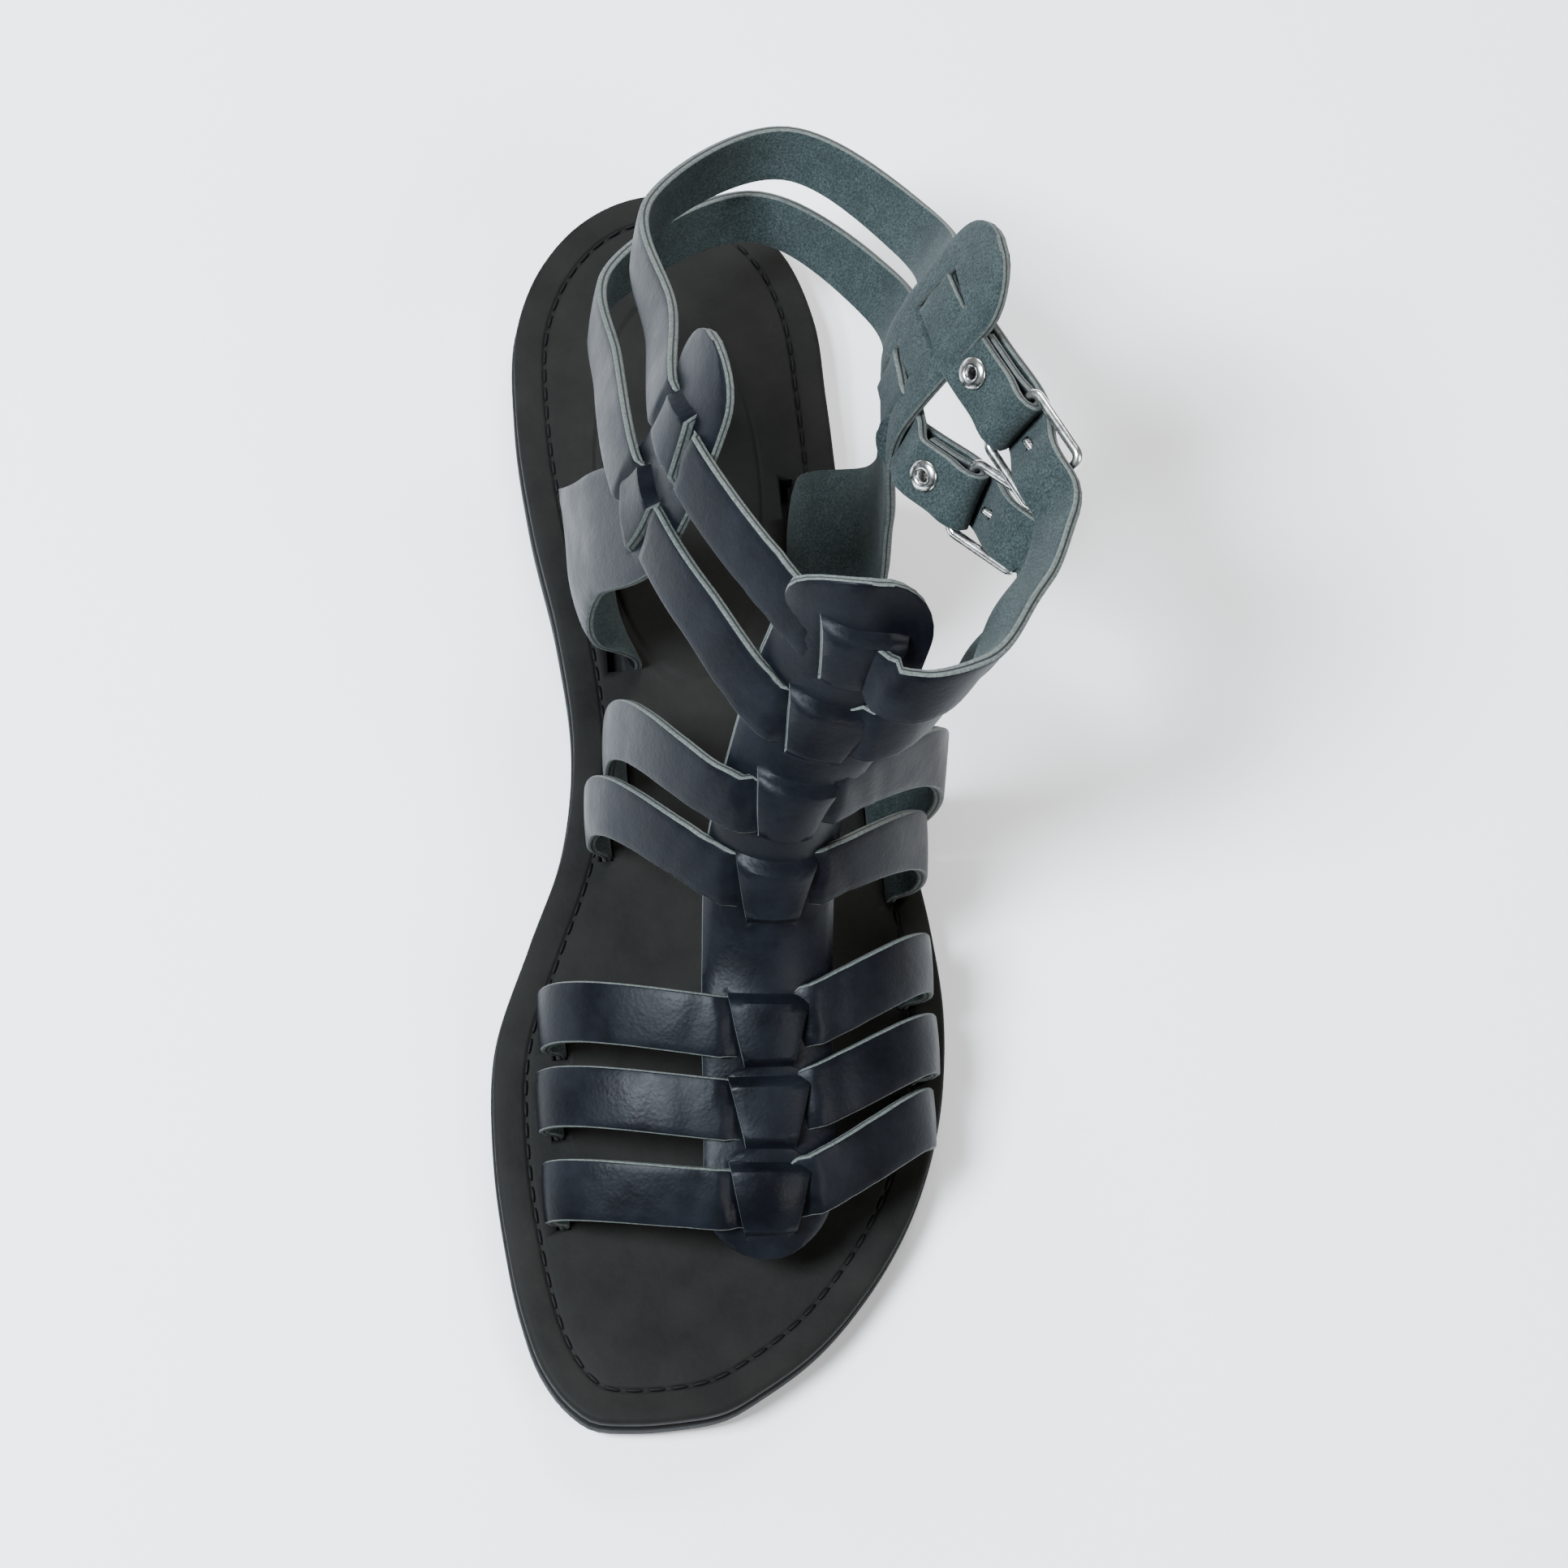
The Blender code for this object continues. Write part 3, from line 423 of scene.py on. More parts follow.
def slitHalfWidth(s, crossings, halfNarrow, halfWide):
    marks, halves = [], []
    for c in sorted(crossings):
        marks += [c - lacing["slitHalf"], c + lacing["slitHalf"]]
        halves += [halfNarrow, halfWide]
    return float(np.interp(s, marks, halves))


def bendOf(host, meetings):
    # how the strip has to drop to either side so that it lies on the straps laced through it
    marks, plus, minus = [], [], []
    for s, strapPath, crossing in sorted(meetings, key=lambda meeting: meeting[0]):
        place, _, across, out = host.frameAt(s)
        found = {}
        for way in (-1, 1):
            leg = strapPath.row(crossing + way * lacing["bendReach"])[:3] - place
            aside = float(np.dot(leg, across))
            found[aside > 0] = -float(np.dot(leg, out)) / max(aside * aside, 1e-8)
        marks.append(s)
        plus.append(min(lacing["bendMost"], max(lacing["bendLeast"], found.get(True, 0.0))))
        minus.append(min(lacing["bendMost"], max(lacing["bendLeast"], found.get(False, 0.0))))
    return lambda s, aside: float(np.interp(s, marks, plus if aside > 0 else minus)) * aside * aside


def lacedRise(s, crossings):
    highest = max(hump(s - c, lacing["flat"], lacing["ramp"]) for c in crossings)
    return strap["thickness"] * lacing["lift"] * highest


def slottedStrip(name, path, stations, widthAt, crossings, halfNarrow, halfWide, bend):
    # three lanes, margin, strip and margin, that part along the slits and are one elsewhere
    thickness, corner = strap["thickness"], strap["corner"]
    extra = [c + m for c in crossings for m in (-lacing["slitHalf"], lacing["slitHalf"],
             -lacing["flat"], lacing["flat"], -lacing["flat"] - 0.5 * lacing["ramp"],
             lacing["flat"] + 0.5 * lacing["ramp"])]
    kept = [s for s in stations if all(abs(s - e) > 0.0005 for e in extra)]
    stations = sorted(kept + [e for e in extra if stations[0] < e < stations[-1]])
    opened = [any(abs(s - c) < lacing["slitHalf"] - 1e-7 for c in crossings) for s in stations]
    vertices, through, faces, indices = [], [], [], []

    def addVertex(point, depth):
        vertices.append(point)
        through.append(depth)
        return len(vertices) - 1

    lanes = []
    for s in stations:
        place, _, across, out = path.frameAt(s)
        half = widthAt(s) / 2
        edge = min(slitHalfWidth(s, crossings, halfNarrow, halfWide), lacing["edgeMost"] * half)
        rise = lacedRise(s, crossings)
        columns = (
            [-half + (half - edge) * k / lacing["sideColumns"] for k in range(lacing["sideColumns"] + 1)],
            [-edge + 2 * edge * k / lacing["middleColumns"] for k in range(lacing["middleColumns"] + 1)],
            [edge + (half - edge) * k / lacing["sideColumns"] for k in range(lacing["sideColumns"] + 1)],
        )
        row = []
        for lane, places in enumerate(columns):
            lift = rise if lane == 1 else 0.0
            bow = lacing["bow"] * rise if lane == 1 else 0.0
            top, bottom = [], []
            for a in places:
                curve = bow * (1 - (a / max(edge, 1e-6)) ** 2) - bend(s, a)
                outerEdge = abs(abs(a) - half) < 1e-9
                drop = corner * 0.6 if outerEdge else 0.0
                base = place + across * a + out * (lift + curve)
                top.append(addVertex(base + out * (thickness / 2 - drop), 1.0))
                bottom.append(addVertex(base - out * (thickness / 2 - drop), -1.0))
            row.append((top, bottom))
        lanes.append(row)
    for i in range(len(stations) - 1):
        for lane in range(3):
            (topA, lowA), (topB, lowB) = lanes[i][lane], lanes[i + 1][lane]
            for j in range(len(topA) - 1):
                faces.append((topA[j], topB[j], topB[j + 1], topA[j + 1]))
                indices.append(0)
                faces.append((lowA[j], lowA[j + 1], lowB[j + 1], lowB[j]))
                indices.append(2)
            parted = opened[i] or opened[i + 1]
            if lane == 0 or parted:
                faces.append((topA[0], lowA[0], lowB[0], topB[0]))
                indices.append(1)
            if lane == 2 or parted:
                faces.append((topA[-1], topB[-1], lowB[-1], lowA[-1]))
                indices.append(1)
    for i, flip in ((0, False), (len(stations) - 1, True)):
        for top, low in lanes[i]:
            for j in range(len(top) - 1):
                face = (top[j], top[j + 1], low[j + 1], low[j])
                faces.append(tuple(reversed(face)) if flip else face)
                indices.append(1)
    piece = meshPiece(name, vertices, faces, [grain, cutEdge, suede], indices)
    storeThrough(piece, through)
    reworked(piece, lambda work: bmesh.ops.remove_doubles(work, verts=list(work.verts), dist=2e-6))
    bevel = piece.modifiers.new("softEdges", "BEVEL")
    bevel.width = lacing["softEdge"]
    bevel.segments = 2
    bevel.limit_method = "ANGLE"
    bevel.angle_limit = math.radians(50)
    return applied(piece)


def applied(piece):
    graph = bpy.context.evaluated_depsgraph_get()
    made = bpy.data.meshes.new_from_object(piece.evaluated_get(graph))
    piece.modifiers.clear()
    piece.data = made
    return piece


# Centre strap
centreStrap = {
    "width": 0.0245,
    "places": (
        (0.11, -0.785, 0.12), (0.12, -0.713, 0.20), (0.14, -0.595, 0.25), (0.15, -0.485, 0.31),
        (0.17, -0.390, 0.37), (0.19, -0.310, 0.47), (0.25, -0.238, 0.65), (0.37, -0.165, 0.82),
        (0.50, -0.112, 1.00), (0.56, -0.083, 1.09), (0.61, -0.056, 1.17),
    ),
    "slits": (1, 2, 3, 5, 6, 7, 8),
    "lean": 0.45,            # rise of its inner edge at the top
    "leanStart": 6,          # row at which the lean begins
}
lastRow = len(centreStrap["places"]) - 1
spinePath = StrapPath([
    (overLast(*place), (-1.0, 0.0, centreStrap["lean"] * ease((row - centreStrap["leanStart"])
                                                              / (lastRow - centreStrap["leanStart"]))))
    for row, place in enumerate(centreStrap["places"])])


def spineWidth(s):
    radius = centreStrap["width"] / 2
    return centreStrap["width"] * roundShare(min(s, spinePath.length - s), radius)


spineCrossings = [spinePath.knots[row] for row in centreStrap["slits"]]
spineStations = roundTip(roundTip(evenStations(spinePath.length), spinePath.length, centreStrap["width"] / 2),
                         0.0, centreStrap["width"] / 2, False)

# Cross straps: where each end enters the footbed, its bulge, sweep and fullness
Side = namedtuple("Side", "across along bulge sweep full")
crossStraps = {
    "toe": (1, Side(-0.72, -0.659, 0.001, 1.3, 1.0), Side(0.76, -0.581, 0.002, 1.3, 1.0)),
    "ball": (2, Side(-0.72, -0.524, 0.001, 1.3, 1.0), Side(0.80, -0.473, 0.002, 1.3, 1.0)),
    "joint": (3, Side(-0.69, -0.402, 0.001, 1.3, 1.0), Side(0.80, -0.354, 0.002, 1.3, 1.0)),
    "instep": (5, Side(-0.46, -0.095, 0.001, 1.2, 0.8), Side(0.80, -0.185, 0.003, 1.2, 1.0)),
    "arch": (6, Side(-0.38, 0.000, 0.001, 1.4, 0.7), Side(0.77, -0.090, 0.009, 1.2, 1.0)),
}
rootRise = 0.0012


def sideRows(side, crownPlace, crownGuide):
    root = overLast(side.across, side.along, 0.0)
    reach = root[0] - crownPlace[0]
    radius = reach + math.copysign(side.bulge, reach)
    lastTurn = math.pi - math.asin((reach / radius) ** (1 / side.full))
    height = (crownPlace[2] - root[2]) / (1 - math.cos(lastTurn))
    slotGuide = np.array((0.0, 1.0, 0.0))
    rows = [((root[0], root[1], z), slotGuide) for z in (insoleBottom + 0.0002, footbed, footbed + rootRise)]
    turns = 7
    for k in range(turns - 1, 0, -1):
        turn = lastTurn * k / turns
        share = (1 - math.cos(turn)) / (1 - math.cos(lastTurn))
        swept = math.sin(min(turn, math.pi / 2)) ** side.sweep
        rows.append(((crownPlace[0] + radius * math.sin(turn) ** side.full,
                      crownPlace[1] + (root[1] - crownPlace[1]) * swept,
                      crownPlace[2] - height * (1 - math.cos(turn))),
                     crownGuide * (1 - share) + slotGuide * share))
    return rows


def dipAt(s, column, crossings):
    # crossings are (length, half width of the laced strip at the strap's two edges)
    deepest = 0.0
    for c, first, second in crossings:
        half = first + (second - first) * 0.5 * (1 + column * 0.5 * strap["width"] / lacing["slitHalf"])
        deepest = max(deepest, hump(s - c, half, lacing["dipRamp"]))
    return deepest


def crossPath(row, inner, outer):
    crownPlace, crownGuide, _, _ = spinePath.frameAt(spinePath.knots[row])
    innerRows = sideRows(inner, crownPlace, crownGuide)
    outerRows = sideRows(outer, crownPlace, crownGuide)
    path = StrapPath(innerRows + [(crownPlace, crownGuide)] + outerRows[::-1])
    return path, path.knots[len(innerRows)]


# Creases: (distance from the centre strap, depth, half width, slant over half the strap's width)
creases = {
    "toe": ((-0.0135, 0.00030, 0.0016, 0.0014), (0.0128, 0.00026, 0.0015, -0.0010),
            (0.0205, 0.00018, 0.0013, 0.0018)),
    "ball": ((-0.0150, 0.00026, 0.0018, -0.0012), (-0.0210, 0.00018, 0.0013, 0.0008),
             (0.0142, 0.00030, 0.0016, 0.0016)),
    "joint": ((-0.0132, 0.00030, 0.0016, 0.0010), (0.0136, 0.00032, 0.0017, 0.0020),
              (0.0195, 0.00020, 0.0014, 0.0008)),
    "instep": ((-0.0140, 0.00034, 0.0018, 0.0022), (-0.0190, 0.00022, 0.0015, 0.0012),
               (0.0128, 0.00034, 0.0017, -0.0018)),
    "arch": ((-0.0135, 0.00034, 0.0018, 0.0020), (0.0130, 0.00036, 0.0017, -0.0020),
             (0.0185, 0.00024, 0.0015, -0.0010)),
    "lower": ((-0.0145, 0.00034, 0.0018, 0.0018), (0.0130, 0.00034, 0.0017, -0.0016),
              (0.0190, 0.00022, 0.0015, 0.0014)),
    "upper": ((-0.0150, 0.00030, 0.0018, 0.0016), (0.0135, 0.00034, 0.0018, -0.0018),
              (-0.0225, 0.00022, 0.0016, 0.0010)),
}


def creaseAt(name, distance, column):
    return sum(depth * math.exp(-((distance - place - slant * column) / width) ** 2)
               for place, depth, width, slant in creases[name])


def makeCrossStrap(name, path, crossing):
    crossings = [(crossing, lacing["narrowHalf"], lacing["wideHalf"])]

    def level(s, column):
        lifted = strap["thickness"] * lacing["lift"] * (1 - dipAt(s, column, crossings))
        lifted *= ease((path.row(s)[2] - footbed) / (strap["width"] / 2))
        return lifted - creaseAt(name, s - crossing, column)

    def width(s):
        return strap["width"] * (1 - strap["pinch"] * dipAt(s, 0.0, crossings))

    return leatherStrip(name + "_strap", path, evenStations(path.length), width, strap["thickness"], level)


strapPieces, spineMeetings = [], []
for strapName, (crownRow, innerSide, outerSide) in crossStraps.items():
    path, crossing = crossPath(crownRow, innerSide, outerSide)
    spineMeetings.append((spinePath.knots[crownRow], path, crossing))
    strapPieces.append(makeCrossStrap(strapName, path, crossing))
print("cross straps made")

# Side tabs
tabs = {
    "baseWidth": 0.0380,
    "topWidth": 0.0230,
    "slits": (3, 4),
    "inner": ((-0.46, 0.315, 0.00), (-0.67, 0.285, 0.19), (-0.60, 0.254, 0.45),
              (-0.31, 0.205, 0.75), (-0.15, 0.250, 0.94), (0.02, 0.340, 1.11)),
    "outer": ((0.65, 0.331, 0.00), (1.04, 0.315, 0.19), (1.10, 0.338, 0.45),
              (1.12, 0.390, 0.71), (1.39, 0.438, 0.91), (1.68, 0.468, 1.10)),
}


def tabPath(places, heelward):
    guide = (0.0, heelward, 0.0)
    rows = [(overLast(*place), guide) for place in places]
    root = rows[0][0]
    return StrapPath([((root[0], root[1], insoleBottom + 0.0002), guide),
                      ((root[0], root[1], footbed + rootRise), guide)] + rows[1:])


def makeTab(name, path, meetings):
    radius = tabs["topWidth"] / 2
    crossings = tabCrossings(path)
    waist = path.knots[tabs["slits"][0]]

    def width(s):
        taper = ease((s - footbed + insoleBottom) / waist)
        tapered = tabs["baseWidth"] + (tabs["topWidth"] - tabs["baseWidth"]) * taper
        return tapered * roundShare(path.length - s, radius)

    return slottedStrip(name, path, roundTip(evenStations(path.length), path.length, radius), width,
                        crossings, lacing["tabLow"], lacing["tabHigh"], bendOf(path, meetings))


def tabCrossings(path):
    return [path.knots[row + 1] for row in tabs["slits"]]


innerTab = tabPath(tabs["inner"], 1.0)
outerTab = tabPath(tabs["outer"], -1.0)

# Ankle straps and their buckles
buckle = {
    "wire": 0.0020,
    "reach": 0.0080,
    "sideGap": 0.0006,
    "corner": 0.0018,
    "rivetShare": 0.70,
    "prong": 0.0015,
    "tail": 0.0240,
    "tailGap": 0.0016,
    "approach": 0.0018,
    "flatLength": 0.050,     # of the free end, over which the strap isn't lifted
    "foldEase": 0.008,
    "tailEase": 0.012,
}
barClear = buckle["wire"] / 2 + last["gap"]
foldRadius = barClear + strap["thickness"] / 2
foldStart = buckle["reach"] + barClear + 1.4 * strap["thickness"]
underBar = -foldRadius
overFold = barClear + 1.5 * strap["thickness"] + last["gap"]
tailLevel = strap["thickness"] + buckle["tailGap"] + strap["thickness"] / 2

ankleStraps = {
    "lower": {
        "spineRow": 7, "tabRow": 0, "seat": (0.0152, -0.0312, 0.0072), "run": (-0.65, 0.70, -0.25),
        "outward": (0.75, 0.30, -0.55), "fold": 0.0110,
        "back": ((1.21, 0.650, 0.40, 0.6, 0.4), (0.52, 0.825, 0.30, 0.1, 0.5),
                 (-0.38, 0.680, 0.38, 0.1, 0.4), (-0.43, 0.480, 0.55, 0.3, 0.1)),
        "front": ((-0.07, 0.023, 0.83, 0.4, 0.5),),
        "side": ((0.64, -0.165, 0.83, 0.1, 0.5), (0.88, -0.118, 0.82, 0.5, 0.3),
                 (1.10, -0.050, 0.82, 0.7, 0.0)),
    },
    "upper": {
        "spineRow": 8, "tabRow": 1, "seat": (0.0129, -0.0309, 0.0032), "run": (-0.42, 0.90, -0.08),
        "outward": (0.75, 0.20, -0.60), "fold": 0.0150,
        "back": ((1.38, 0.690, 0.58, 0.7, 0.4), (0.70, 0.872, 0.46, 0.15, 0.55),
                 (-0.14, 0.720, 0.58, 0.1, 0.35), (-0.14, 0.477, 0.77, 0.35, 0.1)),
        "front": ((0.16, 0.039, 1.01, 0.4, 0.5),),
        "side": ((0.70, -0.165, 1.00, 0.1, 0.5), (0.95, -0.129, 0.99, 0.5, 0.3),
                 (1.18, -0.040, 0.985, 0.7, 0.0)),
    },
}


class BuckleSeat:
    # run points along the strap to the heel, outward away from the foot
    def __init__(self, looks):
        slit = outerTab.frameAt(tabCrossings(outerTab)[looks["tabRow"]])[0]
        self.centre = slit + np.array(looks["seat"])
        self.run = unit(looks["run"])
        outward = np.array(looks["outward"])
        self.outward = unit(outward - np.dot(outward, self.run) * self.run)
        self.width = np.cross(self.outward, self.run)

    def at(self, along, out, across=0.0):
        return self.centre + along * self.run + out * self.outward + across * self.width


def leaning(across, along, up, leanOut, leanBack):
    return overLast(across, along, up), np.array((leanOut, leanBack, 1.0))


def anklePath(looks, seat):
    layer = 0.5 * strap["thickness"] + 0.0002
    foldEnd = buckle["reach"] + looks["fold"]
    rivet = buckle["reach"] + buckle["rivetShare"] * looks["fold"]
    rows = [(seat.at(foldEnd, layer), seat.width), (seat.at(rivet, layer), seat.width),
            (seat.at(foldStart, layer + 0.0001), seat.width)]
    for angle in range(75, 286, 30):
        turn = math.radians(angle)
        place = seat.at(buckle["reach"] + foldRadius * math.cos(turn), foldRadius * math.sin(turn))
        rows.append((place, seat.width))
    rows += [(seat.at(foldStart, -layer - 0.0001), seat.width), (seat.at(rivet, -layer), seat.width),
             (seat.at(foldEnd, -0.8 * layer), seat.width)]
    foldRows = len(rows)
    crossings = []
    for name, tab in (("outer", outerTab), ("inner", innerTab)):
        place, direction, _, _ = tab.frameAt(tabCrossings(tab)[looks["tabRow"]])
        if name == "inner":
            rows += [leaning(*row) for row in looks["back"]]
        crossings.append(len(rows))
        rows.append((place, direction))
    rows += [leaning(*row) for row in looks["front"]]
    place, direction, _, _ = spinePath.frameAt(spinePath.knots[looks["spineRow"]])
    crossings.append(len(rows))
    rows.append((place, direction))
    rows += [leaning(*row) for row in looks["side"]]
    reach = buckle["reach"]
    through = ((-reach - buckle["approach"], underBar), (-reach, underBar), (-0.5 * reach, underBar + 0.0004),
               (0.6 * reach, 0.74 * overFold), (reach, overFold), (reach + 0.5 * buckle["tail"], tailLevel),
               (reach + buckle["tail"], tailLevel))
    rows += [(seat.at(along, out), seat.width) for along, out in through]
    path = StrapPath(rows)
    return path, [path.knots[c] for c in crossings], path.knots[foldRows - 1]


def makeAnkleStrap(name, path, marks, foldDone):
    tailStart = path.length - buckle["flatLength"]
    radius = strap["width"] / 2
    halves = ((lacing["tabLow"], lacing["tabHigh"]),) * 2 + ((lacing["narrowHalf"], lacing["wideHalf"]),)
    crossings = [(mark, *half) for mark, half in zip(marks, halves)]

    def level(s, column):
        buckled = ease(1 - (s - foldDone) / buckle["foldEase"])
        buckled += ease((s - tailStart + buckle["tailEase"]) / buckle["tailEase"])
        lifted = strap["thickness"] * lacing["lift"] * (1 - dipAt(s, column, crossings))
        lifted *= 1 - min(1.0, buckled)
        return lifted - creaseAt(name, s - marks[2], column)

    def width(s):
        narrowed = 1 - strap["pinch"] * dipAt(s, 0.0, crossings)
        return strap["width"] * narrowed * roundShare(path.length - s, radius)

    stations = roundTip(evenStations(path.length), path.length, radius)
    return leatherStrip(name + "_ankle_strap", path, stations, width, strap["thickness"], level)


seats = {}
tabMeetings = {"inner": [], "outer": []}
for strapName, looks in ankleStraps.items():
    seats[strapName] = BuckleSeat(looks)
    path, marks, foldDone = anklePath(looks, seats[strapName])
    for tabName, tab, mark in (("outer", outerTab, marks[0]), ("inner", innerTab, marks[1])):
        tabMeetings[tabName].append((tabCrossings(tab)[looks["tabRow"]], path, mark))
    spineMeetings.append((spinePath.knots[looks["spineRow"]], path, marks[2]))
    strapPieces.append(makeAnkleStrap(strapName, path, marks, foldDone))
print("ankle straps made")

strapPieces += [makeTab("inner_tab", innerTab, tabMeetings["inner"]),
                makeTab("outer_tab", outerTab, tabMeetings["outer"]),
                slottedStrip("centre_strap", spinePath, spineStations, spineWidth, spineCrossings,
                             lacing["narrowHalf"], lacing["wideHalf"], bendOf(spinePath, spineMeetings))]
print("tabs and centre strap made")


def cylinderCutter(name, place, axis, radius, reach):
    work = bmesh.new()
    turn = Vector(axis).to_track_quat("Z", "Y").to_matrix().to_4x4()
    bmesh.ops.create_cone(work, cap_ends=True, segments=20, radius1=radius, radius2=radius, depth=2 * reach,
                          matrix=Matrix.Translation(Vector(place)) @ turn)
    return cutterFrom(name, work)


def cutterFrom(name, work):
    mesh = bpy.data.meshes.new(name)
    work.to_mesh(mesh)
    work.free()
    cutter = bpy.data.objects.new(name, mesh)
    scene.collection.objects.link(cutter)
    return cutter


def cutOut(piece, cutters):
    for cutter in cutters:
        modifier = piece.modifiers.new(cutter.name, "BOOLEAN")
        modifier.operation = "DIFFERENCE"
        modifier.solver = "EXACT"
        modifier.use_self = True
        modifier.object = cutter
    applied(piece)
    for cutter in cutters:
        bpy.data.objects.remove(cutter, do_unlink=True)


def finishPiece(piece, node):
    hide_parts(node)
    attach(piece, "root")


# Punched holes: the tail's row, the slot that the prong comes up through and the rivet's own
punched = {
    "radius": 0.0011,
    "pitch": 0.00713,
    "offset": 0.0008,
    "places": (-1, 0, 1, 2),
    "barReach": 0.0024,      # half length of a cutter beside the bar
    "tailReach": 0.0016,     # and along the tail
    "rivetRadius": 0.0018,
    "rivetReach": 0.0027,
}


def punchStrap(piece, looks, seat):
    cutters = []
    for number in punched["places"]:
        along = punched["offset"] + number * punched["pitch"]
        out = 0.4 * overFold if along < buckle["reach"] else tailLevel
        reach = punched["barReach" if along < buckle["reach"] else "tailReach"]
        place = seat.at(along, out)
        cutters.append(cylinderCutter("tailHole", place, seat.outward, punched["radius"], reach))
    rivet = seat.at(buckle["reach"] + buckle["rivetShare"] * looks["fold"], 0.0)
    cutters.append(cylinderCutter("rivetHole", rivet, seat.outward, punched["rivetRadius"],
                                  punched["rivetReach"]))
    cutOut(piece, cutters)


for strapName, looks in ankleStraps.items():
    punchStrap(bpy.data.objects[strapName + "_ankle_strap"], looks, seats[strapName])
for piece in strapPieces:
    finishPiece(piece, "upper")
print("holes punched")

# Metal: the buckle's frame is drawn along a filleted square by Geometry Nodes
hardware = {
    "filletSteps": 6,
    "wireSides": 16,
    "rivetHead": 0.0031,
    "rivetBore": 0.0010,
    "rivetHeight": 0.0009,
    "rivetSeat": 0.0023,
    "prongRows": ((0.0, 0.0), (0.28, 0.06), (0.55, 0.42), (0.80, 0.80),
                  (1.0, 1.0), (1.09, 0.96), (1.14, 0.90)),
}


def nodeGroup(name, settings, kinds):
    tree = bpy.data.node_groups.new(name, "GeometryNodeTree")
    tree.interface.new_socket("Geometry", in_out="INPUT", socket_type="NodeSocketGeometry")
    tree.interface.new_socket("Geometry", in_out="OUTPUT", socket_type="NodeSocketGeometry")
    for setting, kind in settings.items():
        tree.interface.new_socket(setting, in_out="INPUT", socket_type="NodeSocket" + kind)
    source, result = tree.nodes.new("NodeGroupInput"), tree.nodes.new("NodeGroupOutput")
    return [tree, source, result] + [tree.nodes.new("GeometryNode" + kind) for kind in kinds]


def linkAll(tree, rows):
    for start, out, end, into in rows:
        tree.links.new(start.outputs[out], end.inputs[into])


def bakeNodes(piece, tree, settings):
    modifier = piece.modifiers.new(tree.name, "NODES")
    modifier.node_group = tree
    for item in tree.interface.items_tree:
        if item.in_out == "INPUT" and item.name in settings:
            modifier[item.identifier] = settings[item.name]
    return applied(piece)


def wireTree():
    tree, source, result, curve, fillet, circle, sweep, material, smooth = nodeGroup(
        "wireFrame", {"Wire": "Float", "Fillet": "Float", "Metal": "Material"},
        ("MeshToCurve", "FilletCurve", "CurvePrimitiveCircle", "CurveToMesh", "SetMaterial",
         "SetShadeSmooth"))
    fillet.mode = "POLY"
    setInputs(fillet, {"Count": hardware["filletSteps"]})
    setInputs(circle, {"Resolution": hardware["wireSides"]})
    linkAll(tree, ((source, "Geometry", curve, "Mesh"),
                   (curve, "Curve", fillet, "Curve"),
                   (source, "Fillet", fillet, "Radius"),
                   (source, "Wire", circle, "Radius"),
                   (fillet, "Curve", sweep, "Curve"),
                   (circle, "Curve", sweep, "Profile Curve"),
                   (sweep, "Mesh", smooth, "Geometry"),
                   (smooth, "Geometry", material, "Geometry"),
                   (source, "Metal", material, "Material"),
                   (material, "Geometry", result, "Geometry")))
    return tree


def edgeLoop(name, points):
    mesh = bpy.data.meshes.new(name)
    mesh.from_pydata([tuple(p) for p in points], [(i, (i + 1) % len(points)) for i in range(len(points))], [])
    loop = bpy.data.objects.new(name, mesh)
    scene.collection.objects.link(loop)
    return loop


def makeFrame(name, seat, tree):
    side = strap["width"] / 2 + buckle["sideGap"] + buckle["wire"] / 2
    corners = ((1, 1), (-1, 1), (-1, -1), (1, -1))
    frameLoop = edgeLoop(name + "_buckle_frame",
                         [seat.at(a * buckle["reach"], 0.0, b * side) for a, b in corners])
    bakeNodes(frameLoop, tree, {"Wire": buckle["wire"] / 2, "Fillet": buckle["corner"], "Metal": nickel})
    finishPiece(frameLoop, "buckle_" + name)


def roundRod(name, points, radii, side, material, sides=16):
    vertices, faces = [], []
    top = len(points) - 1
    for i, point in enumerate(points):
        direction = unit(points[min(i + 1, top)] - points[max(i - 1, 0)])
        other = np.cross(direction, side)
        for k in range(sides):
            turn = 2 * math.pi * k / sides
            vertices.append(point + radii[i] * (math.cos(turn) * side + math.sin(turn) * other))
    for i in range(top):
        for k in range(sides):
            a, b = i * sides + k, i * sides + (k + 1) % sides
            faces.append((a, b, b + sides, a + sides))
    faces += [tuple(reversed(range(sides))), tuple(top * sides + k for k in range(sides))]
    return meshPiece(name, vertices, faces, [material])


def makeProng(name, seat):
    rest = buckle["wire"] / 2 + last["gap"] + buckle["prong"] / 2
    heel = buckle["reach"] - foldRadius - strap["thickness"] / 2 - last["gap"] - buckle["prong"]
    length = heel + buckle["reach"]
    rows = smoothRows([(heel - along * length, level * rest, 0.0)
                       for along, level in hardware["prongRows"]], 5)
    radii = [buckle["prong"] / 2 * (0.55 + 0.45 * ease((len(rows) - 1 - i) / 5)) for i in range(len(rows))]
    prong = roundRod(name + "_buckle_prong", [seat.at(a, o) for a, o, _ in rows], radii, seat.width, nickel)
    finishPiece(prong, "prong_" + name)


